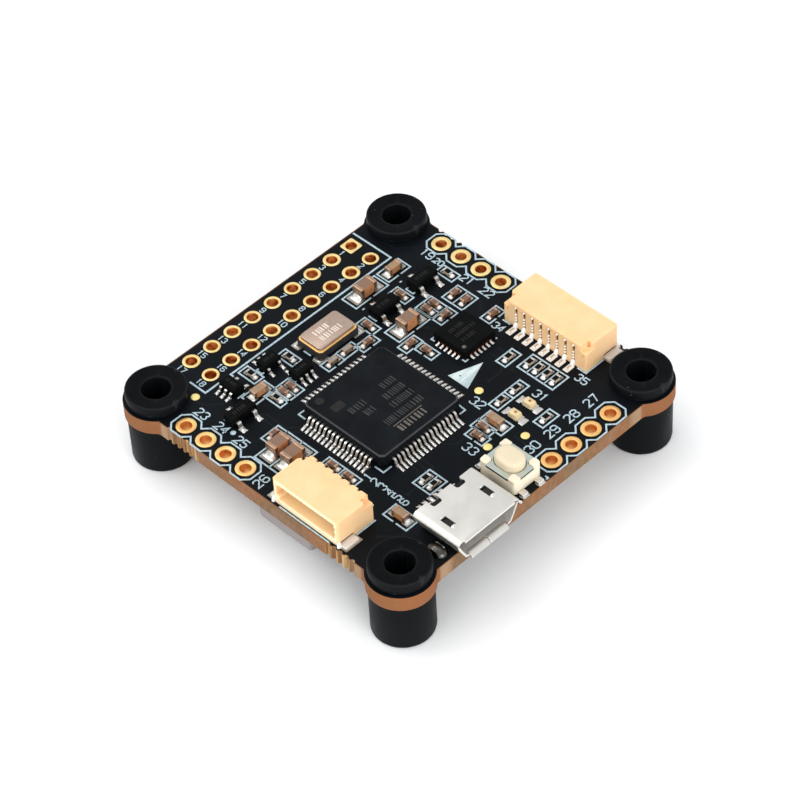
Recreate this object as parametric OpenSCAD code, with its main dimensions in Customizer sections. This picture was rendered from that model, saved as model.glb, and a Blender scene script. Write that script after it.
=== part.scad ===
// Flight controller board on four soft rubber grommets.
// Millimetres. +Z is up, +Y is forward (the arrow printed on the board), +X is to the right.
// The origin is the centre of the four mounting holes, at the plane that the grommets stand on.

/* [Board] */
// Distance between the straight left and right edges
board_x = 35; // [34.8:0.1:35.4]
// Distance between the straight front and rear edges
board_y = 34.6; // [34.5:0.1:35]
// Thickness of the laminate
board_t = 1.6; // [1.2:0.2:2]
// Distance between mounting holes, the same both ways
hole_pitch = 30.5; // [30.4:0.1:30.6]
// Radius of the round ears that carry the mounting holes
ear_r = 3.1; // [3:0.1:3.3]
// Radius of the mounting hole in the laminate
corner_hole_r = 2; // [1.8:0.1:2.2]
// Radius of the concave fillet between an ear and an edge
ear_fillet_r = 1; // [0.8:0.1:1.2]

/* [Grommets] */
// Height of the leg below the board
leg_h = 5.3; // [4:0.1:6]
// Radius of the leg
leg_r = 2.9; // [2.6:0.05:3]
// Height of the flange above the board
flange_h = 1.25; // [0.8:0.05:1.5]
// Radius of the flange
flange_r = 2.85; // [2.6:0.05:3]
// Radius of the bore, which a 3 mm screw stretches
bore_r = 1.35; // [1.2:0.05:1.5]

/* [Plated holes] */
// Distance between neighbouring pads
pad_pitch = 2.54; // [2.54]
// Radius of the drilled hole
drill_r = 0.6; // [0.55:0.05:0.65]
// Thickness of the plating in the hole
plating_t = 0.06; // [0.04:0.02:0.1]
// Outer radius of the rings in the two-row header
header_ring_r = 0.85; // [0.8:0.05:0.95]
// Outer radius of the rings in the four-pad rows
row_ring_r = 1; // [0.9:0.05:1.05]

/* [Button] */
// Length of the button's base
button_x = 4.2; // [4:0.1:4.4]
// Width of the button's base
button_y = 3.4; // [3.2:0.1:3.6]
// Height of the base with its cover
button_h = 1.6; // [1.5:0.1:1.8]
// Height of the plunger's top above the board
plunger_top = 2.5; // [2.3:0.1:2.8]
// Travel of the plunger
button_travel = 0.25; // [0.15:0.05:0.3]

/* [Connectors] */
// Pitch of the wire connectors' contacts
wire_pitch = 1; // [1]
// Contacts in the motor connector
motor_ways = 8; // [6:1:8]
// Contacts in the peripheral connector
peripheral_ways = 6; // [4:1:6]
// Height of the wire connectors' housings
housing_h = 2.9; // [2.7:0.1:3]
// Depth of the wire connectors' housings
housing_d = 4.25; // [4:0.05:4.4]
// Width of the USB shell
usb_w = 7.5; // [7.3:0.1:7.7]
// Height of the USB shell
usb_h = 2.5; // [2.4:0.1:2.6]

/* [Hidden] */

$fn = 48;
// Clearance that keeps cutting tools clear of the faces that they cut
cut = 0.2;
// Heights above the ground plane
board_bottom = leg_h;
board_top = leg_h + board_t;
grommet_top = board_top + flange_h;
// Half of the hole spacing
hole_off = hole_pitch / 2;

// ---- placements on the upper face, each [x, y, turn] about the board's centre ----
// Two-row header: the outer row's front pad, nine pads long
header_rows = 9;
header_front = [-16.2, 10.15];
// Four-pad rows: the centre of each row
front_row = [-6.35, 15.95];
rear_row = [-6.85, -15.95];
right_row = [16.05, 6.5];
row_pads = 4;
test_spots = [[5.55, 4.55], [12.35, 3.3], [10.85, 0.1], [-12.65, -13]];
test_spot_r = 0.45;
test_spot_t = 0.05;
// Break-off notches along the front and rear edges
notch_centres = [-10, 10];
notch_count = 5;
notch_pitch = 0.75;
notch_r = 0.25;

mcu_at = [1.05, -3.1];
gyro_at = [0.05, 8.45];
crystal_at = [-9.1, 0.15];
motor_at = [6.06, 12.6];
peripheral_at = [5.55, -12.65];
usb_at = [13.1, -7.7];
button_at = [14.5, -0.9];

large_capacitors = [[-10.85, 6.65, 90], [-4.9, 6.2, 90], [-2.5, -12.4, 90], [-0.7, -12.4, 90]];
medium_capacitors = [[-10.95, 10.45, 90], [9.4, 2.65, 0], [-8.75, -8.85, 90], [11.05, -10.9, 0]];
small_capacitors = [
  [-8.1, 8.55, 0], [-4.6, 11.95, 90], [-3.2, 11.95, 90], [-4.95, 9.75, 0], [-4.95, 8.8, 0],
  [-3.25, 9.3, 90], [-0.15, 12.35, 90], [-3.05, 4.6, 90], [-1.3, 5, 0], [-7.5, 3.7, 0],
  [-6, 2.1, 90], [9, 1.5, 0], [9.35, 0.4, 0], [-7.1, -6.4, 0], [-7.1, -7.3, 0],
  [-4.05, -11.5, 90], [2.5, -10.65, 0], [4.45, -10.65, 0], [-6.65, 0.2, 90], [-6.6, -1.7, 90]
];
resistors = [
  [-6.95, 13.5, 0], [4.7, 9.3, 90], [6.6, 10.05, 90], [7.65, 10.05, 90], [8.7, 10.05, 90],
  [9.75, 10.05, 90], [7.9, 6.9, 90], [7.9, 4.95, 90], [12.3, 6.05, 90], [9.55, -6.3, 90],
  [10.5, -6.3, 90], [-9.95, -3.95, 0], [-10.95, -7.75, 0], [-7.1, -8.25, 0]
];
leds = [[10.1, 6.25], [10.1, 4.4]];
// Three-lead transistors, their single lead to the left
transistors = [[-7.8, 11.05], [-7.8, 6.1], [-7.85, -11.95]];
// Small logic chips: [x, y, turn], the third one stands across the board
logic_chips = [[-10.65, -5.8, 180], [-7.65, -4.65, 0], [-10.9, -10.15, 270]];

// ---- sizes of the standard parts: [length, width, height, end cap] ----
chip_2012 = [2, 1.25, 1.25, 0.4];
chip_1608 = [1.6, 0.8, 0.8, 0.3];
chip_1005 = [1, 0.5, 0.5, 0.22];
resistor_1005 = [1, 0.5, 0.35, 0.2];

// ---- placements on the lower face, seen from above ----
inductor_at = [2, -12.8];
inductor_size = [7, 7, 3];
buck_at = [-5.9, -11];
overlay_at = [3, 3.5];
overlay_crystal_at = [-6.5, 5.5];
underside_capacitors = [[0.6, -8, 0], [7, -13, 90]];

// ---- shared shapes ----
// Puts its children at a place on the upper face
module on_top(at) {
  translate([at[0], at[1], board_top])
    rotate([0, 0, len(at) > 2 ? at[2] : 0])
      children();
}

// Puts its children upside down at a place on the lower face
module underneath(at) {
  translate([at[0], at[1], board_bottom])
    rotate([0, 0, len(at) > 2 ? at[2] : 0])
      mirror([0, 0, 1])
        children();
}

// Repeats its children in the four corners
module four_corners() {
  for (mx = [0, 1], my = [0, 1])
    mirror([mx, 0, 0])
      mirror([0, my, 0])
        children();
}

// A block centred in plan that stands on z = 0
module block(size) {
  translate([-size[0] / 2, -size[1] / 2, 0])
    cube(size);
}

// A block with its four upright edges cut off at 45 degrees
module cut_corner_block(size, c) {
  x = size[0] / 2;
  y = size[1] / 2;
  linear_extrude(size[2])
    polygon([
      [x - c, -y], [x, -y + c], [x, y - c], [x - c, y],
      [-x + c, y], [-x, y - c], [-x, -y + c], [-x + c, -y]
    ]);
}

// Moulded chip package: straight to mid height, then its top edges are cut off
module chip_body(size, standoff, bevel) {
  x = size[0] / 2;
  y = size[1] / 2;
  intersection() {
    translate([0, y, 0])
      rotate([90, 0, 0])
        linear_extrude(size[1])
          polygon([
            [-x, standoff], [x, standoff], [x, size[2] - bevel],
            [x - bevel, size[2]], [-x + bevel, size[2]], [-x, size[2] - bevel]
          ]);
    translate([-x, 0, 0])
      rotate([90, 0, 90])
        linear_extrude(size[0])
          polygon([
            [-y, standoff], [y, standoff], [y, size[2] - bevel],
            [y - bevel, size[2]], [-y + bevel, size[2]], [-y, size[2] - bevel]
          ]);
  }
}

// One gull-wing lead, given as [reach, rise, foot, thickness, width]: it leaves a body face at
// x = 0 at the height rise and ends in a foot at x = reach
lead_slope = 0.1;

module gull_lead(lead) {
  reach = lead[0];
  rise = lead[1];
  t = lead[3];
  w = lead[4];
  shoulder = reach - lead[2] - lead_slope;
  translate([0, w / 2, 0])
    rotate([90, 0, 0])
      linear_extrude(w)
        polygon([
          [0, rise + t], [shoulder, rise + t], [shoulder + lead_slope + t / 2, t], [reach, t],
          [reach, 0], [shoulder - t / 2, 0], [shoulder - t, rise], [0, rise]
        ]);
}

// A row of gull-wing leads along one side of a package, pointing along +X
module lead_row(count, pitch, face, lead) {
  for (i = [0 : count - 1])
    translate([face, (i - (count - 1) / 2) * pitch, 0])
      gull_lead(lead);
}

// Ceramic or film body of a two-ended chip, between its end caps
module chip_middle(chip) {
  block([chip[0] - 2 * chip[3], chip[1], chip[2]]);
}

// The two end caps of a two-ended chip
module chip_ends(chip) {
  for (s = [-1, 1])
    translate([s * (chip[0] - chip[3]) / 2, 0, 0])
      block([chip[3], chip[1], chip[2]]);
}

// ---- the board ----
// Centre of the fillet circle, from the ear's centre, for an edge at distance d
function fillet_centre(d) =
  [-sqrt(pow(ear_r + ear_fillet_r, 2) - pow(d + ear_fillet_r, 2)), d + ear_fillet_r];

// Each step of the fillet's arc bites this much further into the ear
fillet_bite = 0.005;

// Outline that fills the corner between an ear and an edge: a concave arc and the ear's centre
function fillet_points(d) =
  let (c = fillet_centre(d), a1 = atan2(-c[1], -c[0]), steps = 6)
  concat(
    [for (i = [0 : steps]) c + (ear_fillet_r + i * fillet_bite) *
      [cos(-90 + (a1 + 90) * i / steps), sin(-90 + (a1 + 90) * i / steps)]],
    [[0, 0], [c[0], 0]]
  );

module board_outline() {
  square([board_x, board_y], center = true);
  four_corners()
    translate([hole_off, hole_off]) {
      circle(ear_r);
      polygon(fillet_points(board_y / 2 - hole_off));
      mirror([1, -1, 0])
        polygon(fillet_points(board_x / 2 - hole_off));
    }
}

module at_header_pads() {
  for (row = [0, 1], i = [0 : header_rows - 1])
    translate([header_front[0] + row * pad_pitch, header_front[1] - i * pad_pitch, 0])
      children();
}

module at_row_pads(centre, along) {
  for (i = [0 : row_pads - 1])
    translate([centre[0], centre[1], 0] + (i - (row_pads - 1) / 2) * pad_pitch * along)
      children();
}

module at_all_pads() {
  at_header_pads()
    children();
  at_row_pads(front_row, [1, 0, 0])
    children();
  at_row_pads(rear_row, [1, 0, 0])
    children();
  at_row_pads(right_row, [0, 1, 0])
    children();
}

// The slots that the USB shell's legs drop into
leg_slot = [1.6, 0.7];
usb_leg_x = 2.9;
usb_leg_y = 3.45;

module leg_slots() {
  for (s = [-1, 1])
    translate([usb_at[0] + usb_leg_x, usb_at[1] + s * usb_leg_y, 0]) {
      block([leg_slot[0] - leg_slot[1], leg_slot[1], board_t + 2 * cut]);
      for (e = [-1, 1])
        translate([e * (leg_slot[0] - leg_slot[1]) / 2, 0, 0])
          cylinder(r = leg_slot[1] / 2, h = board_t + 2 * cut);
    }
}

module break_notches() {
  for (s = [-1, 1], c = notch_centres, i = [0 : notch_count - 1])
    translate([c + (i - (notch_count - 1) / 2) * notch_pitch, s * board_y / 2, 0])
      cylinder(r = notch_r, h = board_t + 2 * cut);
}

module circuit_board() {
  color("#2a2a2c")
    difference() {
      translate([0, 0, board_bottom])
        linear_extrude(board_t)
          board_outline();
      translate([0, 0, board_bottom - cut]) {
        four_corners()
          translate([hole_off, hole_off, 0])
            cylinder(r = corner_hole_r, h = board_t + 2 * cut);
        at_all_pads()
          cylinder(r = drill_r, h = board_t + 2 * cut);
        leg_slots();
        break_notches();
      }
    }
}

// ---- grommets ----
grommet_edge = 0.2;

module grommet(sx, sy) {
  color("#1b1c1e")
    translate([sx * hole_off, sy * hole_off, 0])
      rotate_extrude()
        polygon([
          [bore_r, 0], [leg_r - grommet_edge, 0], [leg_r, grommet_edge], [leg_r, leg_h],
          [corner_hole_r, leg_h], [corner_hole_r, board_top], [flange_r, board_top],
          [flange_r, grommet_top - grommet_edge], [flange_r - grommet_edge, grommet_top],
          [bore_r, grommet_top]
        ]);
}

module front_left_grommet() {
  grommet(-1, 1);
}

module front_right_grommet() {
  grommet(1, 1);
}

module rear_left_grommet() {
  grommet(-1, -1);
}

module rear_right_grommet() {
  grommet(1, -1);
}

// ---- plated holes: a barrel with a ring on each face ----
ring_t = 0.05;

module plated_hole(ring_r) {
  translate([0, 0, board_bottom - ring_t])
    rotate_extrude()
      polygon([
        [drill_r - plating_t, 0], [ring_r, 0], [ring_r, ring_t], [drill_r, ring_t],
        [drill_r, ring_t + board_t], [ring_r, ring_t + board_t],
        [ring_r, 2 * ring_t + board_t], [drill_r - plating_t, 2 * ring_t + board_t]
      ]);
}

module header_plated_holes() {
  color("#e8c06a")
    at_header_pads()
      plated_hole(header_ring_r);
}

module front_plated_holes() {
  color("#e8c06a")
    at_row_pads(front_row, [1, 0, 0])
      plated_hole(row_ring_r);
}

module rear_plated_holes() {
  color("#e8c06a")
    at_row_pads(rear_row, [1, 0, 0])
      plated_hole(row_ring_r);
}

module right_plated_holes() {
  color("#e8c06a")
    at_row_pads(right_row, [0, 1, 0])
      plated_hole(row_ring_r);
}

module test_points() {
  color("#f0d488")
    for (spot = test_spots)
      on_top(spot)
        cylinder(r = test_spot_r, h = test_spot_t);
}

// ---- microcontroller: 64 leads, 16 a side ----
mcu_size = [10, 10, 1.5];
mcu_leads = 16;
mcu_pitch = 0.5;
mcu_lead = [1, 0.65, 0.55, 0.14, 0.22];
mcu_bevel = 0.3;
// Gap between a moulded chip's underside and the board
chip_gap = 0.1;

module microcontroller_body() {
  color("#222426")
    on_top(mcu_at)
      chip_body(mcu_size, chip_gap, mcu_bevel);
}

module microcontroller_leads() {
  color("#c8c8c4")
    on_top(mcu_at)
      for (a = [0 : 90 : 270])
        rotate([0, 0, a])
          lead_row(mcu_leads, mcu_pitch, mcu_size[0] / 2, mcu_lead);
}

// ---- motion sensor: flat package with 6 terminals a side and a pad in the middle ----
gyro_size = [4, 4, 0.95];
gyro_terminals = 6;
gyro_pitch = 0.5;
gyro_terminal = [0.42, 0.25, 0.2];
gyro_terminal_inset = 0.11;
gyro_pad = [2.7, 2.6, 0.2];

module motion_sensor_body() {
  color("#242528")
    on_top(gyro_at)
      translate([0, 0, gyro_terminal[2]])
        block([gyro_size[0], gyro_size[1], gyro_size[2] - gyro_terminal[2]]);
}

module motion_sensor_terminals() {
  color("#d0c8b4")
    on_top(gyro_at) {
      for (a = [0 : 90 : 270], i = [0 : gyro_terminals - 1])
        rotate([0, 0, a])
          translate([gyro_size[0] / 2 - gyro_terminal_inset, (i - (gyro_terminals - 1) / 2) * gyro_pitch, 0])
            block(gyro_terminal);
      block(gyro_pad);
    }
}

// ---- crystal: ceramic base, seal ring and metal lid on four corner terminals ----
crystal_size = [3.2, 5];
crystal_base_h = 0.65;
crystal_ring_h = 0.12;
crystal_lid_h = 0.3;
crystal_terminal = [1.1, 1.2, 0.1];
crystal_terminal_off = [1.25, 2.2];
crystal_ring = [3, 4.8];
crystal_ring_cut = 0.25;
crystal_lid_size = [2.7, 4.5];
crystal_lid_cut = 0.3;

module crystal_base() {
  color("#3a3a3e")
    on_top(crystal_at)
      translate([0, 0, crystal_terminal[2]])
        block([crystal_size[0], crystal_size[1], crystal_base_h]);
}

module crystal_seal_ring() {
  color("#d8a850")
    on_top(crystal_at)
      translate([0, 0, crystal_terminal[2] + crystal_base_h])
        cut_corner_block([crystal_ring[0], crystal_ring[1], crystal_ring_h], crystal_ring_cut);
}

module crystal_lid() {
  color("#c2b4ac")
    on_top(crystal_at)
      translate([0, 0, crystal_terminal[2] + crystal_base_h + crystal_ring_h])
        cut_corner_block([crystal_lid_size[0], crystal_lid_size[1], crystal_lid_h],
          crystal_lid_cut);
}

module crystal_terminals() {
  color("#c8c8c4")
    on_top(crystal_at)
      for (sx = [-1, 1], sy = [-1, 1])
        translate([sx * crystal_terminal_off[0], sy * crystal_terminal_off[1], 0])
          block(crystal_terminal);
}

// ---- wire connectors: the mouth faces +Y, the contacts' feet are at the rear ----
shell_w = 0.45;
rear_wall = 1.1;
floor_h = 0.85;
slot_w = 0.34;
slot_d = 0.3;
pin_z = 1.55;
pin_t = 0.3;
corner_cut = 0.5;
tab_size = [0.45, 1.8, 0.9];
tab_inset = 0.1;
contact_foot = 1.2;
contact_t = 0.16;
contact_reach = 3.2;
// What the housing adds to the outer contacts' distance
housing_extra = 3;

function housing_w(ways) = (ways - 1) * wire_pitch + housing_extra;

// Middle of each contact, counted from the left
function way_x(ways, i) = (i - (ways - 1) / 2) * wire_pitch;

module wire_housing(ways) {
  w = housing_w(ways);
  difference() {
    linear_extrude(housing_h)
      polygon([
        [-w / 2 + corner_cut, 0], [w / 2 - corner_cut, 0], [w / 2, 2 * corner_cut],
        [w / 2, housing_d], [-w / 2, housing_d], [-w / 2, 2 * corner_cut]
      ]);
    translate([-w / 2 + 2 * shell_w, rear_wall, floor_h])
      cube([w - 4 * shell_w, housing_d, housing_h - floor_h - shell_w]);
    for (i = [0 : ways - 1])
      translate([way_x(ways, i) - slot_w / 2, 0, 0]) {
        translate([0, -cut, -cut])
          cube([slot_w, slot_d + cut, housing_h + 2 * cut]);
        translate([0, 0, pin_z - pin_t / 2])
          cube([slot_w, rear_wall + cut, pin_t]);
      }
  }
}

// One contact: a pin through the rear wall, a strip down the slot and a foot behind it
module wire_contact() {
  translate([-slot_w / 2, 0, 0])
    rotate([90, 0, 90])
      linear_extrude(slot_w)
        polygon([
          [contact_reach, pin_z - pin_t / 2], [contact_reach, pin_z + pin_t / 2],
          [slot_d, pin_z + pin_t / 2], [slot_d, housing_h - slot_d],
          [slot_d - contact_t, housing_h - slot_d], [slot_d - contact_t, contact_t],
          [-contact_foot, contact_t], [-contact_foot, 0], [slot_d, 0],
          [slot_d, pin_z - pin_t / 2]
        ]);
}

module wire_contacts(ways) {
  for (i = [0 : ways - 1])
    translate([way_x(ways, i), 0, 0])
      wire_contact();
}

module wire_tabs(ways) {
  for (s = [-1, 1])
    translate([s * (housing_w(ways) + tab_size[0]) / 2, housing_d - tab_size[1] / 2 - tab_inset, 0])
      block(tab_size);
}

module motor_connector_housing() {
  color("#f2dcb0")
    on_top(motor_at)
      wire_housing(motor_ways);
}

module motor_connector_contacts() {
  color("#d8d4cc")
    on_top(motor_at)
      wire_contacts(motor_ways);
}

module motor_connector_tabs() {
  color("#c8c8c4")
    on_top(motor_at)
      wire_tabs(motor_ways);
}

module peripheral_connector_housing() {
  color("#f2dcb0")
    on_top([peripheral_at[0], peripheral_at[1], 180])
      wire_housing(peripheral_ways);
}

module peripheral_connector_contacts() {
  color("#d8d4cc")
    on_top([peripheral_at[0], peripheral_at[1], 180])
      wire_contacts(peripheral_ways);
}

module peripheral_connector_tabs() {
  color("#c8c8c4")
    on_top([peripheral_at[0], peripheral_at[1], 180])
      wire_tabs(peripheral_ways);
}

// ---- micro USB socket: the mouth faces +X, past the board's edge ----
usb_l = 5.3;
usb_t = 0.25;
usb_lip = 0.45;
usb_lip_l = 0.5;
usb_window = [1.3, 0.6];
usb_window_y = 2.4;
usb_notch = [1.7, 1.1];
usb_notch_y = 1.45;
usb_leg = [1, 0.25, 0.9];
// The insulator starts this far inside the shell's rear edge
usb_rear = 0.15;
usb_block = [1.5, 4.4, usb_h - 2 * usb_t];
usb_tongue = [3.1, 3.6, 0.45];
usb_tongue_z = 1.35;
usb_strip = [2.7, 0.3, 0.15];
usb_contact_pitch = 0.65;
usb_lead = [1.9, 0.75, 1, 0.15, 0.3];
// The section's sides: straight down to usb_side_h, then sloping in by usb_slope
usb_side_h = 1.1;
usb_slope = 1;
usb_corner = 0.3;
usb_lip_floor = 0.1;

// Cross-section of the shell: wide at the top, sloping in to a narrower floor
module usb_section(grow) {
  w = usb_w / 2 + grow;
  polygon([
    [-w + usb_corner, usb_h + grow], [w - usb_corner, usb_h + grow],
    [w, usb_h - usb_corner + grow], [w, usb_side_h], [w - usb_slope, -grow],
    [-w + usb_slope, -grow], [-w, usb_side_h], [-w, usb_h - usb_corner + grow]
  ]);
}

module along_usb(l) {
  rotate([90, 0, 90])
    linear_extrude(l)
      children();
}

module usb_shell() {
  color("#d9d9d6")
    on_top(usb_at) {
      difference() {
        union() {
          along_usb(usb_l)
            usb_section(0);
          translate([usb_l, 0, 0])
            along_usb(usb_lip_l)
              difference() {
                usb_section(usb_lip);
                translate([-usb_w, -2 * usb_h])
                  square([2 * usb_w, 2 * usb_h - usb_lip_floor]);
              }
        }
        translate([-cut, 0, 0])
          along_usb(usb_l + usb_lip_l + 2 * cut)
            usb_section(-usb_t);
        for (s = [-1, 1]) {
          translate([usb_leg_x, s * usb_window_y, usb_h - 2 * usb_t])
            block([usb_window[0], usb_window[1], 3 * usb_t]);
          translate([0, s * usb_notch_y, usb_h - 2 * usb_t])
            block([usb_notch[0], usb_notch[1], 3 * usb_t]);
        }
      }
      for (s = [-1, 1])
        translate([usb_leg_x, s * usb_leg_y, -board_t])
          block([usb_leg[0], usb_leg[1], board_t + usb_leg[2]]);
    }
}

module usb_insulator() {
  color("#2b2b2e")
    on_top(usb_at) {
      translate([usb_rear, -usb_block[1] / 2, usb_t])
        cube(usb_block);
      translate([usb_rear + usb_block[0], -usb_tongue[1] / 2, usb_tongue_z])
        cube(usb_tongue);
    }
}

module usb_contacts() {
  color("#d8c07a")
    on_top(usb_at)
      for (i = [-2 : 2])
        translate([0, i * usb_contact_pitch, 0]) {
          translate([usb_rear + usb_block[0], -usb_strip[1] / 2, usb_tongue_z - usb_strip[2]])
            cube(usb_strip);
          rotate([0, 0, 180])
            translate([-usb_rear, 0, 0])
              gull_lead(usb_lead);
        }
}

// ---- push button ----
cover_t = 0.15;
cavity = [3.4, 2.7];
cavity_floor = 0.4;
// The plunger's stem is a long round: straight sides between two round ends
stem_l = 2.9;
stem_w = 2.2;
stem_gap = 0.1;
collar_l = 3.2;
collar_w = 2.5;
collar_h = 0.5;
collar_gap = 0.05;
dome_r = 1.2;
// The dome stands high enough to flatten by the travel
dome_rise = button_travel + 0.2;
dome_t = 0.08;
button_corner = 0.7;
button_terminal = [0.7, 0.75, 0.3];
button_terminal_y = 1;

module long_round(l, w, h) {
  block([l - w, w, h]);
  for (s = [-1, 1])
    translate([s * (l - w) / 2, 0, 0])
      cylinder(r = w / 2, h = h);
}

module button_base() {
  color("#f4efe2")
    on_top(button_at)
      difference() {
        block([button_x, button_y, button_h - cover_t]);
        translate([0, 0, cavity_floor])
          block([cavity[0], cavity[1], button_h]);
      }
}

module button_cover() {
  color("#c9cfc6")
    on_top(button_at)
      translate([0, 0, button_h - cover_t])
        difference() {
          cut_corner_block([button_x, button_y, cover_t], button_corner);
          translate([0, 0, -cut])
            long_round(stem_l + 2 * stem_gap, stem_w + 2 * stem_gap, cover_t + 2 * cut);
        }
}

module button_plunger() {
  collar_top = button_h - cover_t - collar_gap;
  color("#f1e6cf")
    on_top(button_at) {
      translate([0, 0, collar_top - collar_h])
        long_round(collar_l, collar_w, collar_h);
      translate([0, 0, collar_top])
        long_round(stem_l, stem_w, plunger_top - collar_top);
    }
}

// Snap dome: a shallow spherical cap whose rim stands on the cavity's floor
module button_dome() {
  ball_r = (dome_r * dome_r + dome_rise * dome_rise) / (2 * dome_rise);
  color("#d2b26a")
    on_top(button_at)
      translate([0, 0, cavity_floor])
        intersection() {
          translate([0, 0, dome_rise - ball_r])
            difference() {
              sphere(r = ball_r);
              sphere(r = ball_r - dome_t);
            }
          cylinder(r = 2 * dome_r, h = 2 * dome_rise);
        }
}

module button_terminals() {
  color("#c8c8c4")
    on_top(button_at)
      for (sx = [-1, 1], sy = [-1, 1])
        translate([sx * (button_x + button_terminal[0]) / 2, sy * button_terminal_y, 0])
          block(button_terminal);
}

// ---- chip capacitors and resistors ----
module large_capacitor_bodies() {
  color("#a5795b")
    for (p = large_capacitors)
      on_top(p)
        chip_middle(chip_2012);
}

module large_capacitor_terminals() {
  color("#c8c8c4")
    for (p = large_capacitors)
      on_top(p)
        chip_ends(chip_2012);
}

module medium_capacitor_bodies() {
  color("#b08a68")
    for (p = medium_capacitors)
      on_top(p)
        chip_middle(chip_1608);
}

module medium_capacitor_terminals() {
  color("#c8c8c4")
    for (p = medium_capacitors)
      on_top(p)
        chip_ends(chip_1608);
}

module small_capacitor_bodies() {
  color("#9c7560")
    for (p = small_capacitors)
      on_top(p)
        chip_middle(chip_1005);
}

module small_capacitor_terminals() {
  color("#c8c8c4")
    for (p = small_capacitors)
      on_top(p)
        chip_ends(chip_1005);
}

module resistor_bodies() {
  color("#1e1e20")
    for (p = resistors)
      on_top(p)
        chip_middle(resistor_1005);
}

module resistor_terminals() {
  color("#c8c8c4")
    for (p = resistors)
      on_top(p)
        chip_ends(resistor_1005);
}

// ---- status lights ----
led_size = [1.6, 0.8];
led_end = 0.3;
led_base_h = 0.2;
led_lens = [1.1, 0.8, 0.4];

module led_bases() {
  color("#e6dfc8")
    for (p = leds)
      on_top(p)
        block([led_size[0] - 2 * led_end, led_size[1], led_base_h]);
}

module led_lenses() {
  color("#f0d9a0")
    for (p = leds)
      on_top(p)
        translate([0, 0, led_base_h])
          block(led_lens);
}

module led_terminals() {
  color("#d8d4cc")
    for (p = leds, s = [-1, 1])
      on_top(p)
        translate([s * (led_size[0] - led_end) / 2, 0, 0])
          block([led_end, led_size[1], led_base_h]);
}

// ---- transistors: three leads, two to the right and one to the left ----
transistor_size = [1.3, 2.9, 1.1];
transistor_bevel = 0.15;
transistor_pitch = 1.9;
transistor_lead = [0.6, 0.45, 0.35, 0.12, 0.4];

module transistor_bodies() {
  color("#222426")
    for (p = transistors)
      on_top(p)
        chip_body(transistor_size, chip_gap, transistor_bevel);
}

module transistor_leads() {
  color("#c8c8c4")
    for (p = transistors)
      on_top(p) {
        lead_row(2, transistor_pitch, transistor_size[0] / 2, transistor_lead);
        rotate([0, 0, 180])
          lead_row(1, transistor_pitch, transistor_size[0] / 2, transistor_lead);
      }
}

// ---- small logic chips: three leads on one side and two on the other ----
logic_size = [1.25, 2, 0.95];
logic_bevel = 0.12;
logic_pitch = 0.65;
logic_lead = [0.5, 0.4, 0.28, 0.12, 0.25];

module logic_chip_bodies() {
  color("#222426")
    for (p = logic_chips)
      on_top(p)
        chip_body(logic_size, chip_gap, logic_bevel);
}

module logic_chip_leads() {
  color("#c8c8c4")
    for (p = logic_chips)
      on_top(p) {
        lead_row(3, logic_pitch, logic_size[0] / 2, logic_lead);
        rotate([0, 0, 180])
          lead_row(2, 2 * logic_pitch, logic_size[0] / 2, logic_lead);
      }
}

// ---- lower face: the 5 V supply and the video overlay ----
inductor_terminal = [1.6, 6, 0.15];
inductor_terminal_x = 2.6;
inductor_corner = 0.8;

module power_inductor_core() {
  color("#9a97a0")
    underneath(inductor_at)
      translate([0, 0, inductor_terminal[2]])
        cut_corner_block([inductor_size[0], inductor_size[1],
          inductor_size[2] - inductor_terminal[2]], inductor_corner);
}

module power_inductor_terminals() {
  color("#c8c8c4")
    underneath(inductor_at)
      for (s = [-1, 1])
        translate([s * inductor_terminal_x, 0, 0])
          block(inductor_terminal);
}

buck_size = [3.9, 4.9, 1.6];
buck_bevel = 0.3;
buck_pitch = 1.27;
buck_lead = [1.05, 0.7, 0.6, 0.2, 0.42];
overlay_size = [4.4, 9.7, 1.05];
overlay_bevel = 0.2;
overlay_pitch = 0.65;
overlay_lead = [1, 0.4, 0.6, 0.14, 0.24];
overlay_crystal_size = [3.2, 2.5, 0.75];
overlay_crystal_cut = 0.2;

module buck_converter_body() {
  color("#222426")
    underneath(buck_at)
      chip_body(buck_size, chip_gap, buck_bevel);
}

module buck_converter_leads() {
  color("#c8c8c4")
    underneath(buck_at)
      for (a = [0, 180])
        rotate([0, 0, a])
          lead_row(4, buck_pitch, buck_size[0] / 2, buck_lead);
}

module video_overlay_body() {
  color("#222426")
    underneath(overlay_at)
      chip_body(overlay_size, chip_gap, overlay_bevel);
}

module video_overlay_leads() {
  color("#c8c8c4")
    underneath(overlay_at)
      for (a = [0, 180])
        rotate([0, 0, a])
          lead_row(14, overlay_pitch, overlay_size[0] / 2, overlay_lead);
}

module overlay_crystal() {
  color("#c2b4ac")
    underneath(overlay_crystal_at)
      cut_corner_block(overlay_crystal_size, overlay_crystal_cut);
}

module underside_capacitor_bodies() {
  color("#a5795b")
    for (p = underside_capacitors)
      underneath(p)
        chip_middle(chip_2012);
}

module underside_capacitor_terminals() {
  color("#c8c8c4")
    for (p = underside_capacitors)
      underneath(p)
        chip_ends(chip_2012);
}

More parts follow.
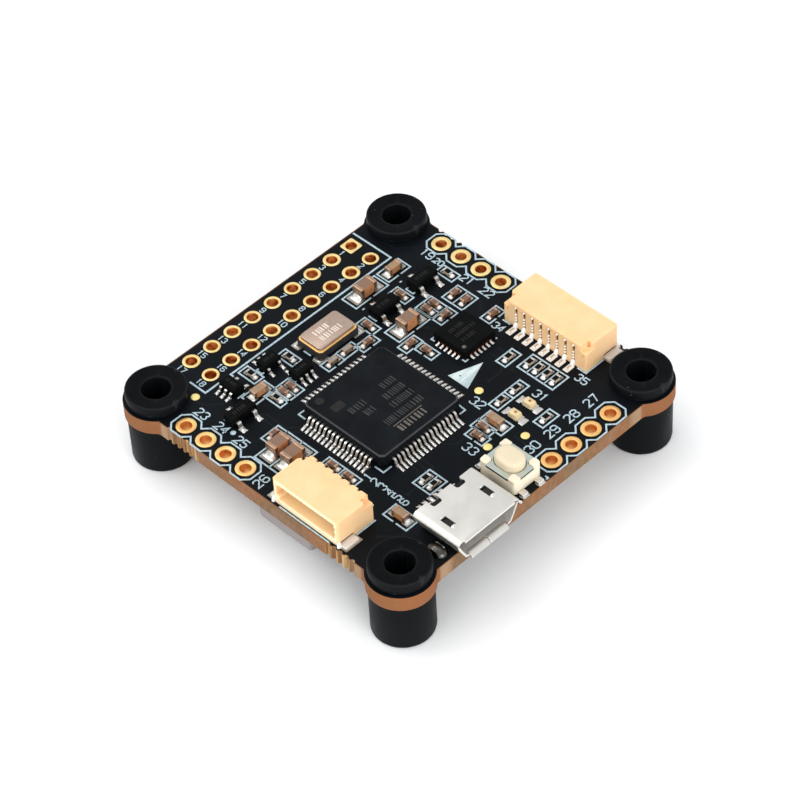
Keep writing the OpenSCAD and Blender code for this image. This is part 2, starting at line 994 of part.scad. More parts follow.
circuit_board();
front_left_grommet();
front_right_grommet();
rear_left_grommet();
rear_right_grommet();
header_plated_holes();
front_plated_holes();
rear_plated_holes();
right_plated_holes();
test_points();
microcontroller_body();
microcontroller_leads();
motion_sensor_body();
motion_sensor_terminals();
crystal_base();
crystal_seal_ring();
crystal_lid();
crystal_terminals();
motor_connector_housing();
motor_connector_contacts();
motor_connector_tabs();
peripheral_connector_housing();
peripheral_connector_contacts();
peripheral_connector_tabs();
usb_shell();
usb_insulator();
usb_contacts();
button_base();
button_cover();
button_plunger();
button_dome();
button_terminals();
large_capacitor_bodies();
large_capacitor_terminals();
medium_capacitor_bodies();
medium_capacitor_terminals();
small_capacitor_bodies();
small_capacitor_terminals();
resistor_bodies();
resistor_terminals();
led_bases();
led_lenses();
led_terminals();
transistor_bodies();
transistor_leads();
logic_chip_bodies();
logic_chip_leads();
power_inductor_core();
power_inductor_terminals();
buck_converter_body();
buck_converter_leads();
video_overlay_body();
video_overlay_leads();
overlay_crystal();
underside_capacitor_bodies();
underside_capacitor_terminals();
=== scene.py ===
import math
import random

import bmesh
import bpy
from mathutils import Matrix, Vector


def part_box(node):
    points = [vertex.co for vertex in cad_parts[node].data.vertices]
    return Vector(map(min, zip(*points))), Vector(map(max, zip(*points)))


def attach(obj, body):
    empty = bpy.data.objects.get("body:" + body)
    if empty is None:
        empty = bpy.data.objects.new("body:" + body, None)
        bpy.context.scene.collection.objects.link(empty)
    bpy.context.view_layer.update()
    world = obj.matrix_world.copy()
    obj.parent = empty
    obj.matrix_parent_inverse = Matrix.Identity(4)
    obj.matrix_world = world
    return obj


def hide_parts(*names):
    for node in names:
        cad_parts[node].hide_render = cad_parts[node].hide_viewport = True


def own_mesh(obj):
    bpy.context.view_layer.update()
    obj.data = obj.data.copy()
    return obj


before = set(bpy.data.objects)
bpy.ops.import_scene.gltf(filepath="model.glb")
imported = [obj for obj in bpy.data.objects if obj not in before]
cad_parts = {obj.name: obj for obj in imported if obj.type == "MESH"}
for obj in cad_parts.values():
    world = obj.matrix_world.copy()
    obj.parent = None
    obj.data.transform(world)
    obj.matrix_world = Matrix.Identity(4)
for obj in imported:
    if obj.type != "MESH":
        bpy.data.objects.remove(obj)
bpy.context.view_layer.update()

# Every length below is in millimetres, and MM turns it into metres.
MM = 0.001
BOARD, PLUNGER = "board", "plunger"


def box_mm(node):
    low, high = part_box(node)
    return low / MM, high / MM


def centre_mm(node):
    low, high = box_mm(node)
    return (low + high) / 2


BOTTOM, TOP = (corner.z for corner in box_mm("circuit_board"))
HALF_X, HALF_Y = 17.5, 17.3  # the board's straight edges
EAR = 15.25  # the ears' centres, along X and Y
CORNERS = [(sx, sy) for sx in (-1, 1) for sy in (-1, 1)]


def link(name, data):
    """A new object in the scene."""
    made = bpy.data.objects.new(name, data)
    bpy.context.scene.collection.objects.link(made)
    return made


# ---------------------------------------------------------------- shaders
class Shader:
    """A Principled material whose textures are placed in the row frame."""

    def __init__(self, name, **sockets):
        self.material = bpy.data.materials.new(name)
        self.material.use_nodes = True
        self.tree = self.material.node_tree
        self.bsdf = self.tree.nodes["Principled BSDF"]
        self.place = self.node("TexCoord", "Object")
        for key, value in sockets.items():
            self.bsdf.inputs[key.replace("_", " ")].default_value = value

    def node(self, kind, output, inputs=None, **settings):
        """Adds a node, fills its inputs with sockets or values, and gives back one of its outputs."""
        made = self.tree.nodes.new("ShaderNode" + kind)
        for key, value in settings.items():
            setattr(made, key, value)
        for key, value in (inputs or {}).items():
            self.plug(value, made.inputs[key])
        return made.outputs[output]

    def plug(self, value, socket):
        if isinstance(value, bpy.types.NodeSocket):
            self.tree.links.new(value, socket)
        else:
            socket.default_value = value

    def noise(self, scale, detail=3.0, stretch=None):
        where = self.place
        if stretch:
            where = self.node("Mapping", "Vector", {"Vector": where, "Scale": stretch})
        return self.node("TexNoise", "Fac", {"Vector": where, "Scale": scale, "Detail": detail})

    def level(self, value, low, high, to_low=0.0, to_high=1.0):
        """A smooth step from to_low to to_high as the value goes from low to high."""
        inputs = {"Value": value, "From Min": low, "From Max": high, "To Min": to_low, "To Max": to_high}
        return self.node("MapRange", "Result", inputs, interpolation_type="SMOOTHSTEP")

    def math(self, operation, a, b=0.0):
        return self.node("Math", 0, {0: a, 1: b}, operation=operation)

    def times(self, a, b):
        return self.math("MULTIPLY", a, b)

    def minus(self, a, b):
        return self.math("SUBTRACT", a, b)

    def mix(self, factor, a, b):
        return self.node("Mix", 2, {0: factor, 6: a, 7: b}, data_type="RGBA")

    def axis(self, name):
        return self.node("SeparateXYZ", name, {0: self.place})

    def facing_up(self):
        """1 on level faces, 0 on upright ones."""
        normal = self.node("NewGeometry", "Normal")
        return self.level(self.math("ABSOLUTE", self.node("SeparateXYZ", "Z", {0: normal})), 0.55, 0.8)

    def edges(self):
        return self.node("NewGeometry", "Pointiness")

    def bump(self, height, depth):
        inputs = {"Strength": 1.0, "Distance": depth * MM, "Height": height}
        self.plug(self.node("Bump", "Normal", inputs), self.bsdf.inputs["Normal"])

    def out(self, tone, rough):
        self.plug(tone, self.bsdf.inputs["Base Color"])
        self.plug(rough, self.bsdf.inputs["Roughness"])
        return self.material


def rgb(red, green, blue):
    """A display colour, 0 to 255, as linear RGBA."""
    def linear(v):
        v /= 255
        return v / 12.92 if v <= 0.04045 else ((v + 0.055) / 1.055) ** 2.4
    return (linear(red), linear(green), linear(blue), 1.0)


def shade(colour, k):
    return tuple(min(1.0, c * k) for c in colour[:3]) + (1.0,)


def plain(name, colour, rough, vary=0.12, coarse=900, fine=9000, depth=0.004, **sockets):
    """A surface with a slow change of tone, a fine grain and an uneven gloss."""
    s = Shader(name, **sockets)
    slow, grain = s.noise(coarse), s.noise(fine, 5.0)
    tone = s.mix(s.level(slow, 0.3, 0.7), shade(colour, 1 - vary), shade(colour, 1 + vary))
    tone = s.mix(s.level(grain, 0.35, 0.75, 0.0, 0.5), tone, shade(colour, 1 - 1.5 * vary))
    s.bump(grain, depth)
    return s.out(tone, s.level(slow, 0.25, 0.75, rough - 0.08, rough + 0.08))


def board_material():
    """Black mask on level faces and a milled wall of brown woven glass, by place round the outline."""
    s = Shader("board", Specular_IOR_Level=0.07)
    slow, grain = s.noise(260), s.noise(5200, 4.0)
    mask = s.mix(s.level(slow, 0.3, 0.7), rgb(9, 13, 16), rgb(14, 18, 23))
    mask = s.mix(s.level(grain, 0.55, 0.8, 0.0, 0.35), mask, rgb(30, 34, 38))
    cloudy, fine = s.noise(170, 2.0), s.noise(2600, 4.0, (1.0, 1.0, 0.5))
    wall = s.mix(s.level(cloudy, 0.4, 0.6), rgb(136, 92, 62), rgb(116, 94, 70))
    wall = s.mix(s.level(s.noise(420, 3.0), 0.5, 0.62, 0.0, 0.5), wall, rgb(134, 106, 90))
    wall = s.mix(s.level(fine, 0.3, 0.75, 0.0, 0.4), wall, rgb(158, 122, 90))
    # Paler and striped where the tabs were broken off; the pale stripes are partly painted highlights on the
    # torn ridges
    x, y = s.math("ABSOLUTE", s.axis("X")), s.math("ABSOLUTE", s.axis("Y"))
    stripes = s.noise(2300, 3.0, (1.0, 1.0, 0.05))
    tab = s.level(s.math("ABSOLUTE", s.minus(x, 10 * MM)), 2.5 * MM, 1.7 * MM)
    tab = s.times(tab, s.level(y, 16.5 * MM, 16.8 * MM))
    pale = s.mix(s.level(stripes, 0.5, 0.6), rgb(140, 104, 70), rgb(204, 170, 120))
    wall = s.mix(s.times(tab, 0.75), wall, pale)
    # Frosted beside the ears and redder on them
    dx, dy = s.minus(x, EAR * MM), s.minus(y, EAR * MM)
    away = s.math("SQRT", s.math("ADD", s.times(dx, dx), s.times(dy, dy)))
    frost = s.times(s.level(away, 3.2 * MM, 3.5 * MM), s.level(away, 4.9 * MM, 3.9 * MM))
    wall = s.mix(s.times(frost, 0.4), wall, rgb(186, 160, 132))
    wall = s.mix(s.level(away, 3.5 * MM, 3.15 * MM, 0.0, 0.75), wall, rgb(140, 88, 54))
    # A bare strip along the rim, where the mask stops short
    rim = s.math("MAXIMUM", s.minus(x, HALF_X * MM), s.minus(y, HALF_Y * MM))
    rim = s.times(s.level(rim, -0.1 * MM, -0.06 * MM), s.level(rim, 0.06 * MM, 0.02 * MM))
    rim = s.times(rim, s.level(away, 3.05 * MM, 3.1 * MM))
    mask = s.mix(s.times(rim, 0.8), mask, rgb(150, 104, 66))
    s.bump(s.math("ADD", grain, s.times(fine, 0.5)), 0.004)
    up = s.facing_up()
    return s.out(s.mix(up, wall, mask), s.mix(up, (0.7, 0.7, 0.7, 1), (0.4, 0.4, 0.4, 1)))


def rubber_material():
    """Black rubber with greyer edges and patches of dust."""
    s = Shader("grommet_rubber", Specular_IOR_Level=0.05)
    slow, grain = s.noise(500), s.noise(7000, 6.0)
    specks = s.node("TexVoronoi", "Distance", {"Vector": s.place, "Scale": 1500})
    dust = s.times(s.level(specks, 0.1, 0.02), s.level(s.noise(420, 2.0), 0.54, 0.66))
    tone = s.mix(s.level(slow, 0.3, 0.7), rgb(5, 7, 9), rgb(10, 12, 14))
    tone = s.mix(s.level(s.edges(), 0.51, 0.57, 0.0, 0.45), tone, rgb(52, 56, 60))
    tone = s.mix(s.times(dust, 0.6), tone, rgb(130, 132, 134))
    s.bump(grain, 0.008)
    return s.out(tone, s.level(slow, 0.2, 0.8, 0.36, 0.52))


def gold_material():
    """Pale rings on both faces and a barrel between them painted redder and darker, as painted shade in the
    hole. The rows at two edges are warmer.
    """
    s = Shader("gold_plating", Metallic=1.0)
    slow, grain, patch = s.noise(1500), s.noise(8000, 4.0), s.noise(200, 1.0)
    x, y, z = (s.axis(name) for name in "XYZ")
    upper = s.level(z, (TOP - 0.2) * MM, (TOP - 0.01) * MM)
    lower = s.level(z, (BOTTOM + 0.2) * MM, (BOTTOM + 0.01) * MM)
    ring = s.mix(s.level(slow, 0.3, 0.7), rgb(252, 216, 142), rgb(255, 232, 170))
    warm = s.math("MAXIMUM", s.level(x, 15.0 * MM, 15.3 * MM), s.level(y, -15.2 * MM, -15.5 * MM))
    ring = s.mix(s.times(warm, s.level(patch, 0.3, 0.6, 0.5, 0.9)), ring, rgb(252, 196, 122))
    # Painted shade: the barrel inside the hole is redder and darker than the rings
    barrel = s.mix(s.level(slow, 0.38, 0.62), rgb(196, 104, 40), rgb(255, 190, 116))
    barrel = s.mix(s.times(warm, 0.6), barrel, rgb(255, 186, 112))
    s.bump(grain, 0.004)
    return s.out(s.mix(s.math("MAXIMUM", upper, lower), barrel, ring), s.level(slow, 0.3, 0.7, 0.34, 0.5))


def tin_material(name, colour, low, high, depth=0.006, scale=2000):
    """Uneven bright metal, from solder to plating. low and high bound its roughness."""
    s = Shader(name, Metallic=1.0)
    slow, grain = s.noise(scale, 3.0), s.noise(14000, 4.0)
    tone = s.mix(s.level(slow, 0.3, 0.7), shade(colour, 0.8), shade(colour, 1.06))
    s.bump(s.math("ADD", slow, s.times(grain, 0.3)), depth)
    return s.out(tone, s.level(grain, 0.3, 0.7, low, high))


def ink_material():
    s = Shader("printed_ink", Specular_IOR_Level=0.2)
    grain = s.noise(9000, 4.0)
    tone = s.mix(s.level(grain, 0.3, 0.62), rgb(138, 160, 170), rgb(190, 210, 218))
    s.bump(grain, 0.006)
    return s.out(tone, s.level(grain, 0.3, 0.7, 0.5, 0.7))


def arrow_material():
    """Thin ink pulled by the squeegee, in pale streaks."""
    s = Shader("arrow_ink", Specular_IOR_Level=0.2)
    streaks = s.noise(2400, 5.0, (1.0, 0.16, 1.0))
    tone = s.mix(s.level(streaks, 0.36, 0.6), rgb(166, 184, 188), rgb(212, 224, 224))
    s.bump(streaks, 0.008)
    return s.out(tone, s.level(streaks, 0.3, 0.7, 0.5, 0.7))


def nylon_material(name, low, high, glow):
    """Cream nylon that lets a little light through, with painted shade that makes it browner in its corners.
    """
    s = Shader(name, Specular_IOR_Level=0.3, Subsurface_Weight=glow, Subsurface_Scale=0.0007)
    s.bsdf.inputs["Subsurface Radius"].default_value = (1.0, 0.8, 0.5)
    slow, grain = s.noise(420), s.noise(6500, 4.0)
    tone = s.mix(s.level(slow, 0.3, 0.7), low, high)
    # Painted shade: browner where the surface is hollow
    tone = s.mix(s.level(s.edges(), 0.5, 0.44, 0.0, 0.6), tone, rgb(240, 182, 118))
    s.bump(grain, 0.005)
    return s.out(tone, s.level(grain, 0.3, 0.7, 0.42, 0.56))


def shell_material():
    """Drawn steel, with faint lines across the socket."""
    s = Shader("socket_steel", Metallic=1.0)
    drawn, slow = s.noise(900, 5.0, (0.12, 1.0, 1.0)), s.noise(260)
    tone = s.mix(s.level(slow, 0.3, 0.7), rgb(225, 222, 215), rgb(234, 231, 224))
    s.bump(drawn, 0.0012)
    return s.out(tone, s.level(slow, 0.3, 0.7, 0.26, 0.34))


def capacitor_material(name, top, side):
    """Fired ceramic, painted dull and greyish on top and warmer on its cut sides: painted light and sheen by
    facing.
    """
    s = Shader(name, Specular_IOR_Level=0.35)
    slow, grain = s.noise(2200), s.noise(15000, 4.0)
    # Painted light: the level top and the upright sides take different colours
    colour = s.mix(s.facing_up(), side, top)
    tone = s.mix(s.level(slow, 0.62, 0.3, 0.0, 0.5), colour, shade(side, 0.55))
    tone = s.mix(s.level(grain, 0.5, 0.75, 0.0, 0.4), tone, shade(top, 1.5))
    s.bump(grain, 0.005)
    return s.out(tone, s.level(grain, 0.3, 0.7, 0.3, 0.46))


def compound_material(name, low, high):
    """Moulding compound with fine pale grains."""
    s = Shader(name, Specular_IOR_Level=0.05)
    slow, grain = s.noise(500), s.noise(16000, 6.0)
    tone = s.mix(s.level(slow, 0.3, 0.7), low, high)
    tone = s.mix(s.level(grain, 0.5, 0.8, 0.0, 0.5), tone, shade(high, 1.8))
    s.bump(grain, 0.008)
    return s.out(tone, s.level(grain, 0.3, 0.7, 0.46, 0.62))


MATERIALS = {
    # The board and its prints
    "board": board_material(),
    "gold": gold_material(),
    "test_gold": plain("test_pad_gold", rgb(255, 236, 156), 0.4, 0.03, 1500, depth=0.003, Metallic=0.7),
    "trace": plain("masked_trace", rgb(17, 21, 25), 0.4, 0.1, 400, 6000, Specular_IOR_Level=0.09),
    "ink": ink_material(),
    "arrow": arrow_material(),
    "rubber": rubber_material(),
    # Solder and plating
    "tin": tin_material("tin_plating", rgb(222, 219, 213), 0.22, 0.36),
    "solder": tin_material("solder", rgb(226, 224, 220), 0.2, 0.34, 0.01, 1200),
    "land": tin_material("tinned_land", rgb(176, 170, 162), 0.34, 0.5, 0.006, 1600),
    # Solder darker than the rest, for the domes on the USB socket's legs
    "dark_leg_solder": tin_material("dark_leg_solder", rgb(84, 82, 79), 0.16, 0.26, 0.0015, 900),
    # Painted highlights: white, barely metallic solder for blobs that stand in for glints
    "painted_highlight_solder": plain("painted_highlight_solder", rgb(255, 253, 249), 0.3, 0.04, 2400, 12000, 0.003, Metallic=0.1),
    # Painted light: tin made pale and barely metallic so that it reads as lit
    "painted_light_tin": plain("painted_light_tin", rgb(232, 224, 214), 0.4, 0.04, 1500, depth=0.003, Metallic=0.15),
    "cap_end": tin_material("capacitor_end", rgb(190, 162, 140), 0.26, 0.42),
    "cap_edge": tin_material("capacitor_edge", rgb(206, 158, 126), 0.3, 0.44),
    "copper": plain("bare_copper", rgb(196, 112, 62), 0.4, 0.15, 3000, 12000, Metallic=0.6),
    # Chips and their marks
    "compound": compound_material("mould_compound", rgb(16, 18, 21), rgb(23, 26, 29)),
    "dark_compound": compound_material("fine_compound", rgb(5, 6, 6), rgb(9, 10, 10)),
    "dimple": compound_material("smooth_compound", rgb(12, 14, 16), rgb(18, 20, 22)),
    # Painted highlight: a paler compound for the chamfer band round a chip's top
    "compound_edge_highlight": plain("painted_highlight_compound", rgb(44, 46, 50), 0.34, 0.25, 700, Specular_IOR_Level=0.5),
    "mark": plain("laser_mark", rgb(104, 97, 90), 0.7, 0.2, 3000, 16000, Specular_IOR_Level=0.2),
    "dark_mark": plain("faint_mark", rgb(62, 63, 63), 0.7, 0.2, 3000, 16000, Specular_IOR_Level=0.15),
    "small_mark": plain("small_mark", rgb(41, 41, 40), 0.7, 0.2, 3000, 16000, Specular_IOR_Level=0.1),
    # Capacitors, resistors, crystals, lights and the inductor
    "large_cap": capacitor_material("ceramic_2012", rgb(126, 101, 84), rgb(190, 126, 80)),
    "medium_cap": capacitor_material("ceramic_1608", rgb(156, 130, 102), rgb(180, 124, 80)),
    "small_cap": capacitor_material("ceramic_1005", rgb(116, 88, 74), rgb(138, 98, 76)),
    "pale_cap": capacitor_material("pale_1005", rgb(150, 144, 132), rgb(150, 128, 106)),
    "film": plain("resistor_film", rgb(8, 8, 9), 0.34, 0.15, 3000, 12000, 0.003, Specular_IOR_Level=0.08),
    "alumina": plain("resistor_alumina", rgb(192, 174, 152), 0.6, 0.06, 3000, 12000),
    "crystal_base": plain("crystal_ceramic", rgb(46, 43, 45), 0.6, 0.12, 1500, Specular_IOR_Level=0.2),
    "crystal_ring": plain("seal_gold", rgb(252, 200, 122), 0.3, 0.08, 1500, depth=0.003, Metallic=0.5),
    "lid": plain("lid_metal", rgb(186, 163, 148), 0.38, 0.07, 2600, Metallic=0.85),
    "lid_mark": plain("lid_mark", rgb(232, 216, 204), 0.5, 0.05, 2000, depth=0.003),
    "led_base": plain("led_base", rgb(232, 224, 200), 0.5, 0.05, 2000),
    "lens": plain("led_resin", rgb(252, 226, 176), 0.12, 0.06, 1600, 9000, 0.002,
                  Transmission_Weight=0.3, IOR=1.5),
    "die": plain("led_die", rgb(150, 96, 34), 0.4, 0.1, 6000, 16000),
    "ferrite": plain("ferrite_coat", rgb(144, 137, 136), 0.5, 0.06, 1200, depth=0.008,
                     Specular_IOR_Level=0.3),
    # Sockets
    "nylon": nylon_material("cream_nylon", rgb(247, 200, 148), rgb(249, 209, 160), 0.3),
    # Painted shade: a yellower copy of the nylon with less glow, tinted for the shaded inside of a mouth
    "painted_shade_mouth_nylon": nylon_material("painted_shade_mouth_nylon", rgb(245, 210, 155), rgb(249, 217, 166), 0.2),
    # Painted light: a paler copy of the nylon for the lit face round a socket's mouth
    "painted_light_face_nylon": nylon_material("painted_light_face_nylon", rgb(252, 224, 182), rgb(254, 231, 194), 0.3),
    # Painted shade: a tan for the shaded gaps between the pins' beads
    "slot_shade": plain("slot_shade", rgb(196, 150, 108), 0.6, 0.1, 1500),
    # Painted shade: a dark brown for the shaded top of each pin slot
    "shaded_metal": plain("shaded_metal", rgb(64, 46, 32), 0.5, 0.15, 3000, 12000),
    "steel": shell_material(),
    # Painted light: a pale, half-metallic lining that lightens the inside of the shell
    "painted_light_lining_steel": plain("painted_light_lining_steel", rgb(206, 202, 197), 0.5, 0.04, 900, depth=0.003, Metallic=0.45),
    "bright_steel": tin_material("polished_steel", rgb(250, 248, 244), 0.16, 0.28, 0.003),
    # Painted shade: near-black steel for the latch springs that fill the shaded windows
    "painted_shade_steel": plain("painted_shade_steel", rgb(22, 19, 18), 0.5, 0.15, 1500, Metallic=0.2),
    # Painted light: the tongue's nylon, grey instead of black, to lighten the inside of the mouth
    "painted_light_tongue_nylon": plain("painted_light_tongue_nylon", rgb(112, 108, 106), 0.5, 0.1, 900, Specular_IOR_Level=0.3),
    "black_nylon": plain("black_nylon", rgb(20, 20, 22), 0.5, 0.15, 900, Specular_IOR_Level=0.2),
    "contact": tin_material("contact_gold", rgb(236, 200, 130), 0.22, 0.36),
    # The push button
    "button": plain("button_base_plastic", rgb(236, 224, 200), 0.5, 0.02, 700, 8000,
                    Subsurface_Weight=0.1, Subsurface_Scale=0.0004),
    "cap": plain("button_cap_plastic", rgb(224, 208, 178), 0.42, 0.02, 600, 7000,
                 Subsurface_Weight=0.12, Subsurface_Scale=0.0005),
    "cover": plain("cover_steel", rgb(196, 205, 198), 0.36, 0.05, 800, depth=0.003, Metallic=0.9),
    "dome": tin_material("dome_metal", rgb(222, 196, 150), 0.24, 0.4),
}


# ---------------------------------------------------------------- places
def spin(turn):
    return Matrix.Rotation(math.radians(turn), 4, "Z")


def shifted(x, y, z=0.0, turn=0.0):
    return Matrix.Translation((x, y, z)) @ spin(turn)


def on_top(x, y, turn=0.0):
    """The place of a part on the upper face."""
    return shifted(x, y, TOP, turn)


def underneath(x, y, turn=0.0):
    """The place of a part that hangs upside down on the lower face."""
    return shifted(x, y, BOTTOM, turn) @ Matrix.Diagonal((1, 1, -1, 1))


HERE = Matrix.Identity(4)
ON = on_top(0, 0)


# ---------------------------------------------------------------- outlines
def rectangle(w, d):
    return [(-w / 2, -d / 2), (w / 2, -d / 2), (w / 2, d / 2), (-w / 2, d / 2)]


def span(x0, x1, y0, y1):
    """A rectangle between two X and two Y values."""
    return [(x0, y0), (x1, y0), (x1, y1), (x0, y1)]


def cut_rectangle(w, d, c):
    x, y = w / 2, d / 2
    half = [(x - c, -y), (x, -y + c), (x, y - c), (x - c, y)]
    return half + [(-a, -b) for a, b in half]


def rounded(outline, radius, steps=4):
    """The outline with each corner replaced by an arc that is tangent to both sides."""
    made = []
    n = len(outline)
    for i in range(n):
        p = Vector(outline[i])
        r = radius[i] if isinstance(radius, (list, tuple)) else radius
        a, b = (Vector(outline[i - 1]) - p).normalized(), (Vector(outline[(i + 1) % n]) - p).normalized()
        half = a.angle(b) / 2
        if r <= 0 or half > math.radians(89):
            made.append(tuple(p))
            continue
        centre = p + (a + b).normalized() * (r / math.sin(half))
        reach = r / math.tan(half)
        s, e = p + a * reach - centre, p + b * reach - centre
        turn = s.angle_signed(e)
        for k in range(steps + 1):
            t = -turn * k / steps
            x, y = s.x * math.cos(t) - s.y * math.sin(t), s.x * math.sin(t) + s.y * math.cos(t)
            made.append((centre.x + x, centre.y + y))
    return made


def soft_box(radius, steps):
    """Gives the function of width and depth that draws a rectangle with corners of this radius."""
    return lambda w, d: rounded(rectangle(w, d), radius, steps)


def circle(r, steps=32, x=0.0, y=0.0):
    turns = [2 * math.pi * k / steps for k in range(steps)]
    return [(x + r * math.cos(a), y + r * math.sin(a)) for a in turns]


def long_round(length, width, steps=14):
    """Two half circles joined by straight sides."""
    made = []
    for end in (0, 1):
        for k in range(steps + 1):
            a = math.pi * (end + k / steps) - math.pi / 2
            made.append(((0.5 - end) * (length - width) + width / 2 * math.cos(a), width / 2 * math.sin(a)))
    return made


# ---------------------------------------------------------------- mesh building
class Solids:
    """Closed solids, in millimetres, that become one object."""

    def __init__(self, *materials):
        self.materials = materials
        self.points, self.faces, self.slots = [], [], []

    def add(self, points, faces, place=HERE, slot=0):
        start = len(self.points)
        self.points += [(place @ Vector(p)) * MM for p in points]
        mirrored = place.determinant() < 0
        for face in faces:
            self.faces.append([start + i for i in (reversed(face) if mirrored else face)])
            self.slots.append(slot)

    def loft(self, rings, place=HERE, slot=0, band=None):
        """Closed rings of equal length, lowest first, with both ends capped. band: (which band, its slot)."""
        n, first = len(rings[0]), len(self.slots)
        faces = [list(range(n))[::-1], [(len(rings) - 1) * n + i for i in range(n)]]
        for r in range(len(rings) - 1):
            for i in range(n):
                j = (i + 1) % n
                faces.append([r * n + i, r * n + j, (r + 1) * n + j, (r + 1) * n + i])
        self.add([p for ring in rings for p in ring], faces, place, slot)
        if band:
            begin = first + 2 + band[0] * n
            self.slots[begin:begin + n] = [band[1]] * n

    def layers(self, outline, levels, place=HERE, slot=0, band=None):
        """Level rings of changing size. Each level is outline's own sizes, then the height."""
        self.loft([[(x, y, z) for x, y in outline(*sizes)] for *sizes, z in levels], place, slot, band)

    def prism(self, outline, low, high, place=HERE, slot=0):
        self.layers(lambda: outline, [(low,), (high,)], place, slot)

    def block(self, size, place=HERE, slot=0):
        self.prism(rectangle(size[0], size[1]), 0, size[2], place, slot)

    def side(self, outline, width, place=HERE, slot=0):
        """An outline in X and Z, pushed out along Y by half the width both ways."""
        self.loft([[(x, y, z) for x, z in outline] for y in (width / 2, -width / 2)], place, slot)

    def lathe(self, profile, steps, place=HERE, slot=0, reach=None):
        """A closed (radius, height) profile turned round Z. reach(angle) stretches points marked with a 1."""
        n = len(profile)
        points, faces = [], []
        for k in range(steps):
            a = 2 * math.pi * k / steps
            for p in profile:
                r = p[0] * (reach(a) if reach and len(p) > 2 else 1)
                points.append((r * math.cos(a), r * math.sin(a), p[1]))
        for k in range(steps):
            m = (k + 1) % steps
            for i in range(n):
                j = (i + 1) % n
                faces.append([k * n + i, m * n + i, m * n + j, k * n + j])
        self.add(points, faces, place, slot)

    def heap(self, size, height, place=HERE, slot=0, steps=(6, 5)):
        """A solid on a flat base of the given size whose top is height(u, v), with u and v from -1 to 1."""
        nu, nv = steps
        top, base, faces = [], [], []
        for i in range(nu + 1):
            for j in range(nv + 1):
                u, v = 2 * i / nu - 1, 2 * j / nv - 1
                x, y = u * size[0] / 2, v * size[1] / 2
                top.append((x, y, height(u, v)))
                base.append((x, y, 0))
        for i in range(nu):
            for j in range(nv):
                a, b = i * (nv + 1) + j, (i + 1) * (nv + 1) + j
                faces.append([a, b, b + 1, a + 1])
        rim = [i * (nv + 1) for i in range(nu + 1)] + [nu * (nv + 1) + j for j in range(1, nv + 1)]
        rim += [i * (nv + 1) + nv for i in range(nu - 1, -1, -1)] + list(range(nv - 1, 0, -1))
        below = {v: len(top) + k for k, v in enumerate(rim)}
        faces.append([below[v] for v in reversed(rim)])
        for v, w in zip(rim, rim[1:] + rim[:1]):
            faces.append([below[v], below[w], w, v])
        self.add(top + [base[v] for v in rim], faces, place, slot)

    def mesh(self, name):
        made = bpy.data.meshes.new(name)
        made.from_pydata(self.points, [], self.faces)
        for key in self.materials:
            made.materials.append(MATERIALS[key])
        made.polygons.foreach_set("material_index", self.slots)
        return made

    def make(self, name, slot, replaces=(), **how):
        return dress(self.mesh(name), name, slot, replaces, **how)


def dress(mesh, name, slot, replaces=(), body=BOARD, smooth=35.0, bevel=0.0, **rounding):
    """Links a mesh as a piece of the object, with rounded edges, and joins it to its CAD body."""
    mesh.validate()
    mesh.polygons.foreach_set("use_smooth", [True] * len(mesh.polygons))
    mesh.set_sharp_from_angle(angle=math.radians(smooth))
    mesh.update()
    made = link(name, mesh)
    if bevel:
        round_edges(made, bevel, **rounding)
    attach(made, body)
    if replaces:
        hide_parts(*replaces)
    return made


def round_edges(thing, width, segments=2, angle=40.0, edge=-1):
    """edge is the material slot of the rounding, or -1 for that of the faces beside it."""
    mod = thing.modifiers.new("rounded_edges", "BEVEL")
    mod.width = width * MM
    mod.segments = segments
    mod.limit_method = "ANGLE"
    mod.angle_limit = math.radians(angle)
    mod.harden_normals = True
    mod.material = edge
    mod.use_clamp_overlap = True


def carve(base, cutters, name):
    """The mesh of base with each cutter taken away."""
    thing = link(name + "_base", base.mesh(name + "_base"))
    tools = []
    for k, cutter in enumerate(cutters):
        label = f"{name}_tool_{k}"
        tools.append(link(label, cutter.mesh(label)))
        mod = thing.modifiers.new("cut", "BOOLEAN")
        mod.operation, mod.solver, mod.object = "DIFFERENCE", "EXACT", tools[-1]
        mod.use_self = True
    bpy.context.view_layer.update()
    graph = bpy.context.evaluated_depsgraph_get()
    mesh = bpy.data.meshes.new_from_object(thing.evaluated_get(graph))
    mesh.name = name
    for old in tools + [thing]:
        bpy.data.objects.remove(old)
    work = bmesh.new()
    work.from_mesh(mesh)
    bmesh.ops.remove_doubles(work, verts=work.verts, dist=1e-7)
    bmesh.ops.dissolve_limit(work, angle_limit=math.radians(0.5), verts=work.verts, edges=work.edges)
    work.to_mesh(mesh)
    work.free()
    return mesh


# ---------------------------------------------------------------- places taken from the CAD model
def islands(node):
    """The box, in millimetres, of each separate solid in a CAD node."""
    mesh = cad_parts[node].data
    ids, parent, at = {}, [], []

    def root(i):
        while parent[i] != i:
            parent[i] = parent[parent[i]]
            i = parent[i]
        return i
    for v in mesh.vertices:
        key = tuple(round(c * 1e7) for c in v.co)
        if key not in ids:
            ids[key] = len(parent)
            parent.append(len(parent))
        at.append(ids[key])
    for face in mesh.polygons:
        first = root(at[face.vertices[0]])
        for v in face.vertices[1:]:
            parent[root(at[v])] = first
    groups = {}
    for v in mesh.vertices:
        groups.setdefault(root(at[v.index]), []).append(v.co / MM)
    boxes = []
    for found in groups.values():
        boxes.append(tuple(Vector([pick(p[k] for p in found) for k in range(3)]) for pick in (min, max)))
    return sorted(boxes, key=lambda b: (round(b[0].x, 2), round(b[0].y, 2)))


def middle(box):
    return (box[0] + box[1]) / 2


